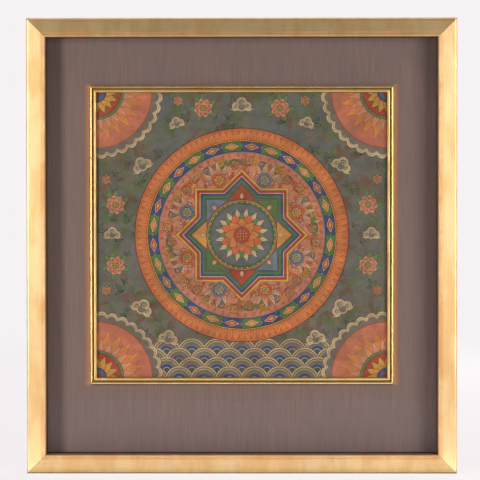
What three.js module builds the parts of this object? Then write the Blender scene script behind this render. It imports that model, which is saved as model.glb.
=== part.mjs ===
// A painted cotton scroll painting, mounted flat: the cloth is held on a fabric-covered board by a
// narrow gilt slip frame, behind glass, in a deep gilt outer frame that stands on its bottom edge.
// Millimetres, +Z up, front towards -Y, origin at the centre of the bottom edge.

import * as THREE from "three";
import { mergeVertices } from "three/addons/utils/BufferGeometryUtils.js";

// Outer frame
const FRAME_WIDTH = 645;
const FRAME_HEIGHT = 683;
const FRAME_DEPTH = 45;
const RAIL_FACE = 28;
const RABBET_WALL = 21;
const LIP_BACK = 28.2;
const EDGE_ROUNDING = 3.5;
const QUIRK_INSET = 23;
const QUIRK_WIDTH = 1.2;
const QUIRK_DEPTH = 0.8;
const QUIRK_SLOPE = 0.25;
const BEAD_DROP = 2.5;
const BEAD_SWEEP = 0.8 * Math.PI;

// Slip frame round the painting
const SLIP_WIDTH = 458;
const SLIP_HEIGHT = 450;
const SLIP_BOTTOM = 132;
const SLIP_FACE = 10;
const SLIP_FOOT = 4.5;
const SLIP_OUTER_RIDGE = 3;
const SLIP_INNER_RIDGE = 4;
const SLIP_SIGHT_SLOPE = 0.8;
const SLIP_OUTER_TOP = 22;
const SLIP_INNER_TOP = 21;
const SLIP_GROOVE = 19.4;
const SLIP_INNER_RISE = 1.5;
const SLIP_LIP_BACK = 15.5;

// Flat layers, each by its distance from the back plane and its thickness
const BOARD_BACK = 7;
const BOARD_THICKNESS = 5;
const FABRIC_THICKNESS = 1;
const CLOTH_THICKNESS = 1.5;
const GLASS_THICKNESS = 2;
const SPACER_FACE = 6.7;

// Clearances and fineness
const GAP = 0.3;
const ARC_STEPS = 6;
const STRIP_MIDDLE = 0.5;
const CLOTH_CELLS = 26;
const COCKLE_HEIGHT = 0.8;
const COCKLE_MARGIN = 30;

// The soft waves in the stretched cloth: each one's share of the cockle height, its pitch along X
// and along Z, and its phase in radians
const COCKLES = [
  { share: 0.28, across: 295, up: 1300, phase: 0.4 },
  { share: 0.22, across: -900, up: 380, phase: 1.3 },
];

// Worked out from the sizes above
const FABRIC_BACK = BOARD_BACK + BOARD_THICKNESS + GAP;
const FABRIC_FRONT = FABRIC_BACK + FABRIC_THICKNESS;
const CLOTH_BACK = FABRIC_FRONT + GAP;
const GLASS_BACK = LIP_BACK - GAP - GLASS_THICKNESS;
const LAYER_INSET = RABBET_WALL + GAP;
const LAYER_WIDTH = FRAME_WIDTH - 2 * LAYER_INSET;
const LAYER_HEIGHT = FRAME_HEIGHT - 2 * LAYER_INSET;
const CLOTH_WIDTH = SLIP_WIDTH - 2 * (SLIP_FOOT + GAP);
const CLOTH_HEIGHT = SLIP_HEIGHT - 2 * (SLIP_FOOT + GAP);
const MITRE_GAP = (GAP / 2) * Math.SQRT2;

const FINISHES = {
  gilding: { color: 0xe6bd78, roughness: 0.38, metalness: 0.9 },
  slipGilding: { color: 0xf0cb84, roughness: 0.28, metalness: 0.95 },
  glass: { color: 0xf2f5f4, roughness: 0.03, metalness: 0, transparent: true, opacity: 0.15 },
  darkWood: { color: 0x4a3020, roughness: 0.8, metalness: 0 },
  mountFabric: { color: 0x7c6863, roughness: 0.9, metalness: 0 },
  board: { color: 0x8a6a48, roughness: 0.85, metalness: 0 },
  paintedCloth: { color: 0x8a6a58, roughness: 0.85, metalness: 0 },
};

// The four sides of a rectangular frame: how far a side is turned from the bottom one, and where
// the middle of its outer edge lies, as shares of half the width and half the height.
const SIDES = [
  { name: "bottom", turn: 0, across: 0, up: -1 },
  { name: "right", turn: -Math.PI / 2, across: 1, up: 0 },
  { name: "top", turn: Math.PI, across: 0, up: 1 },
  { name: "left", turn: Math.PI / 2, across: -1, up: 0 },
];

/** A named mesh from a geometry and one of the finishes, with its vertices merged. */
function piece(name, geometry, finish) {
  geometry.deleteAttribute("normal");
  geometry.deleteAttribute("uv");
  const merged = mergeVertices(geometry, 1e-4);
  merged.computeVertexNormals();
  const mesh = new THREE.Mesh(merged, new THREE.MeshStandardMaterial({ ...FINISHES[finish] }));
  mesh.name = name;
  return mesh;
}

/** The moulding of the outer frame: x runs in from the outer edge, y forward from the back plane. */
function railSection() {
  const bead = (RAIL_FACE - QUIRK_INSET - QUIRK_WIDTH) / 2;
  const beadMiddle = RAIL_FACE - bead;
  const shape = new THREE.Shape();
  shape.moveTo(0, 0);
  shape.lineTo(RABBET_WALL, 0);
  shape.lineTo(RABBET_WALL, LIP_BACK);
  shape.lineTo(RAIL_FACE, LIP_BACK);
  shape.lineTo(RAIL_FACE, FRAME_DEPTH - BEAD_DROP);
  shape.absellipse(beadMiddle, FRAME_DEPTH - BEAD_DROP, bead, BEAD_DROP, 0, BEAD_SWEEP, false, 0);
  shape.lineTo(QUIRK_INSET + QUIRK_WIDTH - QUIRK_SLOPE, FRAME_DEPTH - QUIRK_DEPTH);
  shape.lineTo(QUIRK_INSET + QUIRK_SLOPE, FRAME_DEPTH - QUIRK_DEPTH);
  shape.lineTo(QUIRK_INSET, FRAME_DEPTH);
  const corner = FRAME_DEPTH - EDGE_ROUNDING;
  shape.absarc(EDGE_ROUNDING, corner, EDGE_ROUNDING, Math.PI / 2, Math.PI, false);
  shape.closePath();
  return shape;
}

/** The slip's moulding: an outer and an inner ridge with a groove between, and a lip over the cloth. */
function slipSection() {
  const outer = SLIP_OUTER_RIDGE / 2;
  const inner = SLIP_INNER_RIDGE / 2;
  const innerMiddle = SLIP_FACE - SLIP_SIGHT_SLOPE - inner;
  const outerShoulder = SLIP_OUTER_TOP - outer;
  const innerShoulder = SLIP_INNER_TOP - SLIP_INNER_RISE;
  const shape = new THREE.Shape();
  shape.moveTo(0, CLOTH_BACK);
  shape.lineTo(SLIP_FOOT, CLOTH_BACK);
  shape.lineTo(SLIP_FOOT, SLIP_LIP_BACK);
  shape.lineTo(SLIP_FACE, SLIP_LIP_BACK);
  shape.lineTo(innerMiddle + inner, innerShoulder);
  shape.absellipse(innerMiddle, innerShoulder, inner, SLIP_INNER_RISE, 0, Math.PI, false, 0);
  shape.lineTo(innerMiddle - inner, SLIP_GROOVE);
  shape.lineTo(SLIP_OUTER_RIDGE, SLIP_GROOVE);
  shape.lineTo(SLIP_OUTER_RIDGE, outerShoulder);
  shape.absellipse(outer, outerShoulder, outer, outer, 0, Math.PI, false, 0);
  shape.closePath();
  return shape;
}

/** A plain rectangular strip that lies in the rabbet between the mount and the glass. */
function spacerSection() {
  const back = FABRIC_FRONT + GAP;
  const front = GLASS_BACK - GAP;
  const shape = new THREE.Shape();
  shape.moveTo(0, back);
  shape.lineTo(SPACER_FACE, back);
  shape.lineTo(SPACER_FACE, front);
  shape.lineTo(0, front);
  shape.closePath();
  return shape;
}

/** One mitred side: the section swept along X, inwards along +Z, with both ends cut at 45 degrees. */
function mitredStrip(section, length) {
  const strip = new THREE.ExtrudeGeometry(section, {
    depth: 2 * STRIP_MIDDLE,
    steps: 1,
    bevelEnabled: false,
    curveSegments: ARC_STEPS,
  });
  const place = strip.getAttribute("position");
  for (let i = 0; i < place.count; i += 1) {
    const inward = place.getX(i);
    const forward = place.getY(i);
    const end = length / 2 - inward - MITRE_GAP;
    const side = Math.sign(place.getZ(i) - STRIP_MIDDLE);
    place.setXYZ(i, side * end, FRAME_DEPTH / 2 - forward, inward);
  }
  return strip;
}

/** Four mitred sides round a rectangle of a given size and middle height. */
function mitredFrame(prefix, section, finish, width, height, middle) {
  const group = new THREE.Group();
  group.position.z = middle;
  for (const side of SIDES) {
    const length = side.across === 0 ? width : height;
    const strip = piece(`${prefix}_${side.name}`, mitredStrip(section, length), finish);
    strip.rotation.y = side.turn;
    strip.position.set((side.across * width) / 2, 0, (side.up * height) / 2);
    group.add(strip);
  }
  return group;
}

/** A flat layer centred at a height, with its back at a distance from the back plane. */
function layer(name, finish, width, height, middle, back, thickness) {
  const mesh = piece(name, new THREE.BoxGeometry(width, thickness, height), finish);
  mesh.position.set(0, FRAME_DEPTH / 2 - back - thickness / 2, middle);
  return mesh;
}

/** How far the stretched cloth stands off its mount at a place: low soft cockles, none at its edges. */
function cockle(x, z) {
  const nearSide = Math.min(1, (CLOTH_WIDTH / 2 - Math.abs(x)) / COCKLE_MARGIN);
  const nearEnd = Math.min(1, (CLOTH_HEIGHT / 2 - Math.abs(z)) / COCKLE_MARGIN);
  let wave = 0;
  for (const { share, across, up, phase } of COCKLES) {
    wave += share * (1 + Math.sin(2 * Math.PI * (x / across + z / up) + phase));
  }
  return COCKLE_HEIGHT * wave * nearSide * nearEnd;
}

/** The painted cloth: a thin closed sheet whose two faces follow the same cockles. */
function paintedCloth(middle) {
  const sheet = new THREE.BoxGeometry(
    CLOTH_WIDTH, CLOTH_THICKNESS, CLOTH_HEIGHT, CLOTH_CELLS, 1, CLOTH_CELLS,
  );
  const place = sheet.getAttribute("position");
  for (let i = 0; i < place.count; i += 1) {
    place.setY(i, place.getY(i) - cockle(place.getX(i), place.getZ(i)));
  }
  const mesh = piece("painted_cloth", sheet, "paintedCloth");
  mesh.position.set(0, FRAME_DEPTH / 2 - CLOTH_BACK - CLOTH_THICKNESS / 2, middle);
  return mesh;
}

const frameMiddle = FRAME_HEIGHT / 2;
const slipMiddle = SLIP_BOTTOM + SLIP_HEIGHT / 2;

const part = new THREE.Group();
part.add(
  mitredFrame("rail", railSection(), "gilding", FRAME_WIDTH, FRAME_HEIGHT, frameMiddle),
  mitredFrame("spacer", spacerSection(), "darkWood", LAYER_WIDTH, LAYER_HEIGHT, frameMiddle),
  mitredFrame("slip", slipSection(), "slipGilding", SLIP_WIDTH, SLIP_HEIGHT, slipMiddle),
  layer("mount_board", "board", LAYER_WIDTH, LAYER_HEIGHT, frameMiddle, BOARD_BACK, BOARD_THICKNESS),
  layer("mount_fabric", "mountFabric", LAYER_WIDTH, LAYER_HEIGHT, frameMiddle, FABRIC_BACK, FABRIC_THICKNESS),
  layer("glazing", "glass", LAYER_WIDTH, LAYER_HEIGHT, frameMiddle, GLASS_BACK, GLASS_THICKNESS),
  paintedCloth(slipMiddle),
);

export default part;
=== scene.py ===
"""A painted cotton mandala on a silk-covered mount, inside a gilt slip and a glazed gilt frame.

The outer frame and the slip are swept by Geometry Nodes from their moulding sections and mitred.
The painted cloth is one stretched sheet whose mesh is cut along every painted edge that shows, so
each lay of pigment has a clean edge. The ornament is a generic lotus mandala of the maker's own.
Metres, +Z up, front towards -Y.
"""

import logging
import math
import random
from dataclasses import dataclass, field, replace
from enum import Enum
from typing import Iterable, Sequence

import bpy
import numpy as np
from mathutils import Matrix, Vector
from mathutils.geometry import delaunay_2d_cdt


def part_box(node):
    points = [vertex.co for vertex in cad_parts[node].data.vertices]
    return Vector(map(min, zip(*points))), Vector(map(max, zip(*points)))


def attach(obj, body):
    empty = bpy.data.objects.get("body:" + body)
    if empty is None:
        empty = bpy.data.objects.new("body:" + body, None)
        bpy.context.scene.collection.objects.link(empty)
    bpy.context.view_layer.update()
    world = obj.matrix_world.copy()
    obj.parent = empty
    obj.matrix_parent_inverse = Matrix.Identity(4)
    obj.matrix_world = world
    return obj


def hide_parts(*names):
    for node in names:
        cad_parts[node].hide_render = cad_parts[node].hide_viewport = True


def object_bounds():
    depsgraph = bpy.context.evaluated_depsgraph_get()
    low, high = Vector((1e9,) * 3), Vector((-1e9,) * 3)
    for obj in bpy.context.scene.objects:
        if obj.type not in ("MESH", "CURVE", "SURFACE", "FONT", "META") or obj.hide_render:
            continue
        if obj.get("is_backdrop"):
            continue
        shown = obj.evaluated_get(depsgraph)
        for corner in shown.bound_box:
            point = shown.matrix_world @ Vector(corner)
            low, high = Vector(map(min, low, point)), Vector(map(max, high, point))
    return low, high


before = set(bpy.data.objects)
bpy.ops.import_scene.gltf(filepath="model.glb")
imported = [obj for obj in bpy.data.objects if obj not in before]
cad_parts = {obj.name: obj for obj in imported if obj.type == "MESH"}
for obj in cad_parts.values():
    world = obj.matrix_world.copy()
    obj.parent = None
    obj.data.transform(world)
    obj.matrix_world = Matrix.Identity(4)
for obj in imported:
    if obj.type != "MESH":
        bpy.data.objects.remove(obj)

MM = 0.001
LOG = logging.getLogger("framed_mandala")
Point = tuple[float, float]
Edge = tuple[int, int]
Colour = tuple[float, float, float, float]
Band = tuple[float, float, float]
Tree = bpy.types.NodeTree
Link = bpy.types.NodeSocket | bpy.types.Node
CUT_SLACK = 1e-4


class Side(Enum):
    """A side of a mitred frame: its turn from the bottom one, and where its outer edge lies."""

    BOTTOM = ("bottom", 0.0, 0, -1)
    RIGHT = ("right", -math.pi / 2, 1, 0)
    TOP = ("top", math.pi, 0, 1)
    LEFT = ("left", math.pi / 2, -1, 0)

    @property
    def label(self) -> str:
        """The side's plain name."""
        return self.value[0]

    @property
    def turn(self) -> float:
        """The angle about Y that carries the bottom side to this one."""
        return self.value[1]

    @property
    def outward(self) -> Point:
        """The direction, across and up, from the frame's middle to this side."""
        return self.value[2], self.value[3]


class Pigment(Enum):
    """The painter's pigments, as they look after long ageing under smoke and varnish."""

    INK = "35201D"
    GROUND = "7A6F60"
    SLATE = "636963"
    MOSS = "57693C"
    OLIVE = "7B7350"
    BROWN = "6A4C38"
    ORANGE = "DE7342"
    AMBER = "E28B4B"
    RUST = "AC4F2E"
    RED = "B83C32"
    ROSE = "CE765A"
    PINK = "DC9C7C"
    CREAM = "D9B98F"
    YELLOW = "DDA648"
    GREEN = "527A40"
    LEAF = "6C8A52"
    TEAL = "33594F"
    BLUE = "3B4A78"
    PALE = "7A8898"


INK, GROUND, SLATE, MOSS, OLIVE, BROWN, ORANGE, AMBER, RUST, RED = tuple(Pigment)[:10]
ROSE, PINK, CREAM, YELLOW, GREEN, LEAF, TEAL, BLUE, PALE = tuple(Pigment)[10:]


def linear(colour: str) -> Colour:
    """Turns an sRGB hex colour to linear light.

    Args:
        colour: Six hex digits.

    Returns:
        Red, green, blue and an alpha of one.
    """
    parts = [int(colour[i:i + 2], 16) / 255 for i in (0, 2, 4)]
    light = [p / 12.92 if p <= 0.04045 else ((p + 0.055) / 1.055) ** 2.4 for p in parts]
    return light[0], light[1], light[2], 1.0


def add(tree: Tree, kind: str, inputs: dict | None = None, **settings: object) -> bpy.types.Node:
    """Adds a node with its settings, values and links.

    Args:
        tree: The node tree.
        kind: The node's type name.
        inputs: Values, output sockets or nodes, by the input's name or number.
        **settings: Properties of the node itself.

    Returns:
        The new node. Given as an input, a node stands for its first output in use.
    """
    node = tree.nodes.new(kind)
    for name, value in settings.items():
        setattr(node, name, value)
    for name, value in (inputs or {}).items():
        if isinstance(value, bpy.types.Node):
            value = next(output for output in value.outputs if output.enabled)
        if isinstance(value, bpy.types.NodeSocket):
            tree.links.new(value, node.inputs[name])
        else:
            node.inputs[name].default_value = value
    return node


def new_material(name: str) -> tuple[bpy.types.Material, Tree]:
    """Makes an empty material with nodes.

    Args:
        name: The finish's common name.

    Returns:
        The material and its cleared node tree.
    """
    material = bpy.data.materials.new(name)
    material.use_nodes = True
    material.node_tree.nodes.clear()
    return material, material.node_tree


def mesh_piece(name: str, points: np.ndarray, faces: Sequence[Sequence[int]]) -> bpy.types.Object:
    """Makes a mesh object at the origin from points and faces.

    Args:
        name: The piece's name.
        points: Places in metres, one row each.
        faces: Corner numbers of each face.

    Returns:
        The new object, linked to the scene.
    """
    mesh = bpy.data.meshes.new(name)
    mesh.from_pydata([tuple(p) for p in points], [], [tuple(f) for f in faces])
    mesh.update()
    piece = bpy.data.objects.new(name, mesh)
    bpy.context.scene.collection.objects.link(piece)
    return piece


def finish_surface(tree: Tree, height: Link, strength: float, depth: float, inputs: dict) -> None:
    """Ends a material with its surface over a fine relief.

    Args:
        tree: The material's node tree.
        height: The relief.
        strength: How much of it shows.
        depth: Its depth in metres.
        inputs: The surface's own values, by name.
    """
    bump = add(tree, "ShaderNodeBump", {"Height": height, "Strength": strength, "Distance": depth})
    shader = add(tree, "ShaderNodeBsdfPrincipled", {**inputs, "Normal": bump})
    add(tree, "ShaderNodeOutputMaterial", {"Surface": shader})


def masked(tree: Tree, *ranges: dict) -> bpy.types.Node:
    """Eases each pattern over its own range, and multiplies what comes out.

    Args:
        tree: The material's node tree.
        *ranges: The pattern (0), the range it starts and ends at (1, 2), and what it gives there (3, 4).

    Returns:
        The mask.
    """
    mask = None
    for values in ranges:
        part = add(tree, "ShaderNodeMapRange", values, interpolation_type="SMOOTHSTEP")
        mask = add(tree, "ShaderNodeMath", {0: mask, 1: part}, operation="MULTIPLY") if mask else part
    return mask


def veiled(tree: Tree, under: Link | Colour, over: str, pattern: Link, low: float, high: float,
           least: float = 0.0, most: float = 1.0) -> bpy.types.Node:
    """Lets one colour show over another where a pattern is high.

    Args:
        tree: The material's node tree.
        under: The colour below.
        over: The colour above, as hex.
        pattern: What decides.
        low: The pattern's value where the change starts.
        high: Its value where the change ends.
        least: The upper colour's share at the start.
        most: Its share at the end.

    Returns:
        The colour.
    """
    share = masked(tree, {0: pattern, 1: low, 2: high, 3: least, 4: most})
    return add(tree, "ShaderNodeMix", {0: share, 6: under, 7: linear(over)}, data_type="RGBA")


def weave(tree: Tree, whole: Link, pitch: float) -> bpy.types.Node:
    """The over and under of plain threads, or a screen's square print.

    Args:
        tree: The material's node tree.
        whole: Metres in the frame's own axes.
        pitch: Metres from one crest to the next.

    Returns:
        Its height, from minus one to one.
    """
    axes = add(tree, "ShaderNodeSeparateXYZ", {0: whole})
    waves = {}
    for number, axis in enumerate((0, 2)):
        turns = {0: axes.outputs[axis], 1: 2 * math.pi / pitch}
        angle = add(tree, "ShaderNodeMath", turns, operation="MULTIPLY")
        waves[number] = add(tree, "ShaderNodeMath", {0: angle}, operation="SINE")
    return add(tree, "ShaderNodeMath", waves, operation="MULTIPLY")


@dataclass(frozen=True)
class Grain:
    """Noise stretched over a surface: what drives a streak, a blotch or a speck."""

    across: float
    along: float
    detail: float = 3.0
    roughness: float = 0.55
    distortion: float = 0.0

    def node(self, tree: Tree, coordinates: Link) -> bpy.types.Node:
        """Adds the noise.

        Args:
            tree: The material's node tree.
            coordinates: Metres, with X across, and Y or Z along.

        Returns:
            The noise.
        """
        scale = (1 / self.across, 1 / self.along, 1 / self.along)
        mapping = add(tree, "ShaderNodeMapping", {"Vector": coordinates, "Scale": scale})
        return add(
            tree, "ShaderNodeTexNoise",
            {"Vector": mapping, "Scale": 1.0, "Detail": self.detail,
             "Roughness": self.roughness, "Distortion": self.distortion},
        )


@dataclass(frozen=True)
class Gilding:
    """Water gilding: gold leaf on red bole over gesso, burnished lengthwise and rubbed at the edges.

    The burnishing lines spread a reflection across the rail, so a side rail glows beside a tall
    light while a level one stays dark. Where the leaf is thin the red bole warms it. Bands are
    measured round the section from the middle of its back: two places and a share.
    """

    name: str
    gold: str = "EBCE98"
    deep_gold: str = "E3BD81"
    bole: str = "D07C46"
    side: str = "BE8C4A"
    side_thin: str = "A5763B"
    toned: str = "6E431F"
    knock: str = "5A3219"
    roughness: float = 0.5
    spread: float = 0.78
    spread_turn: float = 0.0
    streak: float = 0.9 * MM
    streak_length: float = 55 * MM
    leaf: float = 80 * MM
    worn: tuple[Band, ...] = ()
    tones: tuple[Band, ...] = ()
    polished: tuple[Band, ...] = ()
    side_from: float = 1.0
    side_ramp: float = 3 * MM
    brush: float = 0.5
    dents: float = 0.3
    rub: float = 0.15

    def material(self) -> bpy.types.Material:
        """Builds the gilding on the moulding's own map: U across the section, V along the rail.

        Returns:
            The material.
        """
        material, tree = new_material(self.name)
        whole = add(tree, "ShaderNodeTexCoord").outputs["Object"]
        place = add(tree, "ShaderNodeUVMap", uv_map="moulding")
        axes = add(tree, "ShaderNodeSeparateXYZ", {0: place})
        across, along = axes.outputs[0], axes.outputs[1]
        streaks = Grain(self.streak, self.streak_length, 4.0, 0.65).node(tree, place)
        clouds = Grain(22 * MM, 60 * MM).node(tree, whole)
        wobble = Grain(9 * MM, 9 * MM, 2.0).node(tree, whole)
        colour = veiled(tree, linear(self.gold), self.deep_gold, clouds, 0.38, 0.66)
        leafed = {0: 1.0, 6: colour, 7: self.leaf_tone(tree, along, wobble)}
        colour = add(tree, "ShaderNodeMix", leafed, data_type="RGBA", blend_type="MULTIPLY")
        rubbed = self.rubbed(tree, across, whole, streaks)
        worn = {0: rubbed, 6: colour, 7: linear(self.bole)}
        colour = add(tree, "ShaderNodeMix", worn, data_type="RGBA")
        painted = masked(tree, {0: across, 1: self.side_from, 2: self.side_from + self.side_ramp})
        bare = painted
        # Dark toned bands; one laid in a hollow, as in the slip's groove, is partly painted shade.
        for low, high, share in self.tones:
            band = self.band(tree, across, low, high, 0.25 * MM, share)
            toned = {0: band, 6: colour, 7: linear(self.toned)}
            colour = add(tree, "ShaderNodeMix", toned, data_type="RGBA")
            bare = add(tree, "ShaderNodeMath", {0: bare, 1: band}, operation="MAXIMUM")
        brushed = veiled(tree, linear(self.side_thin), self.side, streaks, 0.35, 0.65)
        brushed = veiled(tree, brushed, self.side_thin, wobble, 0.5, 0.75, 0.0, 0.4)
        colour = add(tree, "ShaderNodeMix", {0: painted, 6: colour, 7: brushed}, data_type="RGBA")
        speck, colour = self.specks(tree, whole, colour)
        metal = add(tree, "ShaderNodeMath", {0: 1.0, 1: rubbed}, operation="SUBTRACT")
        leafed = add(tree, "ShaderNodeMath", {0: bare, 1: -0.85, 2: 1.0}, operation="MULTIPLY_ADD")
        metal = add(tree, "ShaderNodeMath", {0: metal, 1: leafed}, operation="MULTIPLY")
        height = add(tree, "ShaderNodeMath", {0: streaks, 1: self.brush}, operation="MULTIPLY")
        dented = {0: wobble, 1: self.dents, 2: height}
        height = add(tree, "ShaderNodeMath", dented, operation="MULTIPLY_ADD")
        height = add(tree, "ShaderNodeMath", {0: height, 1: speck}, operation="SUBTRACT")
        finish_surface(tree, height, 0.35, 0.06 * MM, {
            "Base Color": colour, "Metallic": metal,
            "Roughness": self.dulled(tree, across, streaks, rubbed),
            "Anisotropic": self.spread, "Anisotropic Rotation": self.spread_turn,
            "Tangent": add(tree, "ShaderNodeTangent", direction_type="UV_MAP", uv_map="moulding"),
        })
        return material

    def dulled(self, tree: Tree, across: Link, streaks: Link, rubbed: Link) -> bpy.types.Node:
        """The gloss: duller along the streaks and on the bole, brighter on the polished bands.

        Args:
            tree: The material's node tree.
            across: Metres across the section.
            streaks: The burnishing lines.
            rubbed: The share of bole that shows.

        Returns:
            The roughness.
        """
        spread = {0: streaks, 1: 0.3, 2: 0.7, 3: self.roughness - 0.05, 4: self.roughness + 0.08}
        rough = add(tree, "ShaderNodeMapRange", spread)
        rough = add(tree, "ShaderNodeMath", {0: rubbed, 1: 0.25, 2: rough}, operation="MULTIPLY_ADD")
        for low, high, gloss in self.polished:
            band = self.band(tree, across, low, high, 0.3 * MM)
            kept = add(tree, "ShaderNodeMath", {0: band, 1: -gloss, 2: 1.0}, operation="MULTIPLY_ADD")
            rough = add(tree, "ShaderNodeMath", {0: rough, 1: kept}, operation="MULTIPLY")
        return rough

    def leaf_tone(self, tree: Tree, along: Link, wobble: Link) -> bpy.types.Node:
        """Gives each leaf its own faint tone and its lap a fine bright line.

        Args:
            tree: The material's node tree.
            along: Metres along the rail.
            wobble: Noise that keeps the laps from being ruled straight.

        Returns:
            A grey to multiply the gold by.
        """
        bent = add(tree, "ShaderNodeMath", {0: wobble, 1: 4 * MM, 2: along}, operation="MULTIPLY_ADD")
        leaves = add(tree, "ShaderNodeMath", {0: bent, 1: self.leaf}, operation="DIVIDE")
        number = add(tree, "ShaderNodeMath", {0: leaves}, operation="FLOOR")
        chance = add(tree, "ShaderNodeTexWhiteNoise", {"W": number}, noise_dimensions="1D")
        tone = add(tree, "ShaderNodeMath", {0: chance, 1: 0.06, 2: 0.96}, operation="MULTIPLY_ADD")
        part = add(tree, "ShaderNodeMath", {0: leaves}, operation="FRACT")
        lap = masked(tree, {0: part, 1: 0.0, 2: 0.018, 3: 1.05, 4: 1.0})
        grey = add(tree, "ShaderNodeMath", {0: tone, 1: lap}, operation="MULTIPLY")
        return add(tree, "ShaderNodeCombineColor", {0: grey, 1: grey, 2: grey})

    def band(self, tree: Tree, across: Link, low: float, high: float, soft: float,
             most: float = 1.0) -> bpy.types.Node:
        """A mask between two places across the section.

        Args:
            tree: The material's node tree.
            across: Metres across the section.
            low: Where it starts.
            high: Where it ends.
            soft: Half the width of its soft edges.
            most: Its value inside.

        Returns:
            The mask.
        """
        rise = {0: across, 1: low - soft, 2: low + soft}
        return masked(tree, rise, {0: across, 1: high - soft, 2: high + soft, 3: most, 4: 0.0})

    def rubbed(self, tree: Tree, across: Link, whole: Link, streaks: Link) -> bpy.types.Node:
        """Where the leaf is rubbed through to the bole: a little all over, more along the arrises.

        Args:
            tree: The material's node tree.
            across: Metres across the section.
            whole: Metres in the frame's own axes.
            streaks: The burnishing lines.

        Returns:
            The share of bole that shows.
        """
        patches = Grain(30 * MM, 30 * MM, 5.0, 0.6).node(tree, whole)
        total = masked(tree, {0: streaks, 1: 0.45, 2: 0.75, 3: self.rub * 0.6, 4: self.rub * 1.6})
        for middle, half, amount in self.worn:
            patch = masked(tree, {0: patches, 1: 0.40, 2: 0.62, 3: amount * 0.45, 4: amount})
            band = self.band(tree, across, middle - half, middle + half, half * 0.6)
            wear = add(tree, "ShaderNodeMath", {0: band, 1: patch}, operation="MULTIPLY")
            total = add(tree, "ShaderNodeMath", {0: total, 1: wear}, operation="MAXIMUM")
        return add(tree, "ShaderNodeMath", {0: total, 1: 0.95}, operation="MINIMUM")

    def specks(self, tree: Tree, whole: Link, colour: Link) -> tuple[bpy.types.Node, bpy.types.Node]:
        """Small dark knocks and fly spots, about one in every hand's width.

        Args:
            tree: The material's node tree.
            whole: Metres in the frame's own axes.
            colour: The gilding's colour.

        Returns:
            The specks' mask, and the colour with them in it.
        """
        cells = add(tree, "ShaderNodeTexVoronoi", {"Vector": whole, "Scale": 1 / (17 * MM)})
        near = masked(tree, {0: cells.outputs["Distance"], 1: 0.035, 2: 0.06, 3: 1.0, 4: 0.0})
        chance = add(tree, "ShaderNodeSeparateColor", {0: cells.outputs["Color"]})
        chosen = add(tree, "ShaderNodeMath", {0: chance, 1: 0.66}, operation="GREATER_THAN")
        mask = add(tree, "ShaderNodeMath", {0: near, 1: chosen}, operation="MULTIPLY")
        share = add(tree, "ShaderNodeMath", {0: mask, 1: 0.7}, operation="MULTIPLY")
        speckled = {0: share, 6: colour, 7: linear(self.knock)}
        return mask, add(tree, "ShaderNodeMix", speckled, data_type="RGBA")


@dataclass(frozen=True)
class BareWood:
    """Sawn pine left bare on the back of a moulding: straight grain, planed, slightly soiled."""

    name: str = "bare_pine"
    pale: str = "C79F6C"
    dark: str = "9B6E40"
    pore: str = "6B4828"
    ring: float = 2.2 * MM

    def material(self) -> bpy.types.Material:
        """Builds the grain along the moulding's own map.

        Returns:
            The material.
        """
        material, tree = new_material(self.name)
        place = add(tree, "ShaderNodeUVMap", uv_map="moulding")
        grain = Grain(self.ring, 140 * MM, 4.0, 0.6, 0.4).node(tree, place)
        pores = Grain(0.5 * MM, 12 * MM, 2.0).node(tree, place)
        colour = veiled(tree, linear(self.pale), self.dark, grain, 0.35, 0.65)
        colour = veiled(tree, colour, self.pore, pores, 0.55, 0.8, 0.0, 0.35)
        finish_surface(tree, grain, 0.3, 0.1 * MM, {"Base Color": colour, "Roughness": 0.72})
        return material


@dataclass(frozen=True)
class StainedWood:
    """Stained and waxed strip wood: dark brown, matt, with a faint straight grain."""

    name: str = "stained_strip"
    dark: str = "3E281A"
    pale: str = "5C3D26"

    def material(self) -> bpy.types.Material:
        """Builds the stain over fine grain in object coordinates.

        Returns:
            The material.
        """
        material, tree = new_material(self.name)
        whole = add(tree, "ShaderNodeTexCoord").outputs["Object"]
        grain = Grain(3 * MM, 3 * MM, 4.0, 0.65).node(tree, whole)
        colour = veiled(tree, linear(self.dark), self.pale, grain, 0.4, 0.65)
        finish_surface(tree, grain, 0.2, 0.1 * MM, {"Base Color": colour, "Roughness": 0.62})
        return material


@dataclass(frozen=True)
class Hardboard:
    """Brown hardboard, screen side out: pressed wood fibre with a fine square mesh pressed in."""

    name: str = "hardboard"
    pale: str = "8A6B49"
    dark: str = "6B4E33"
    blotch: str = "5B4431"
    mesh: float = 1.8 * MM

    def material(self) -> bpy.types.Material:
        """Builds fibres and the screen's print in object coordinates.

        Returns:
            The material.
        """
        material, tree = new_material(self.name)
        whole = add(tree, "ShaderNodeTexCoord").outputs["Object"]
        fibres = Grain(1.6 * MM, 1.1 * MM, 5.0, 0.7, 1.2).node(tree, whole)
        stains = Grain(90 * MM, 70 * MM, 4.0).node(tree, whole)
        colour = veiled(tree, linear(self.dark), self.pale, fibres, 0.35, 0.7)
        colour = veiled(tree, colour, self.blotch, stains, 0.5, 0.75, 0.0, 0.3)
        rough = add(tree, "ShaderNodeMath", {0: fibres, 1: 0.6}, operation="MULTIPLY")
        printed = {0: weave(tree, whole, self.mesh), 1: 0.35, 2: rough}
        height = add(tree, "ShaderNodeMath", printed, operation="MULTIPLY_ADD")
        finish_surface(tree, height, 0.5, 0.25 * MM, {"Base Color": colour, "Roughness": 0.85})
        return material


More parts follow.
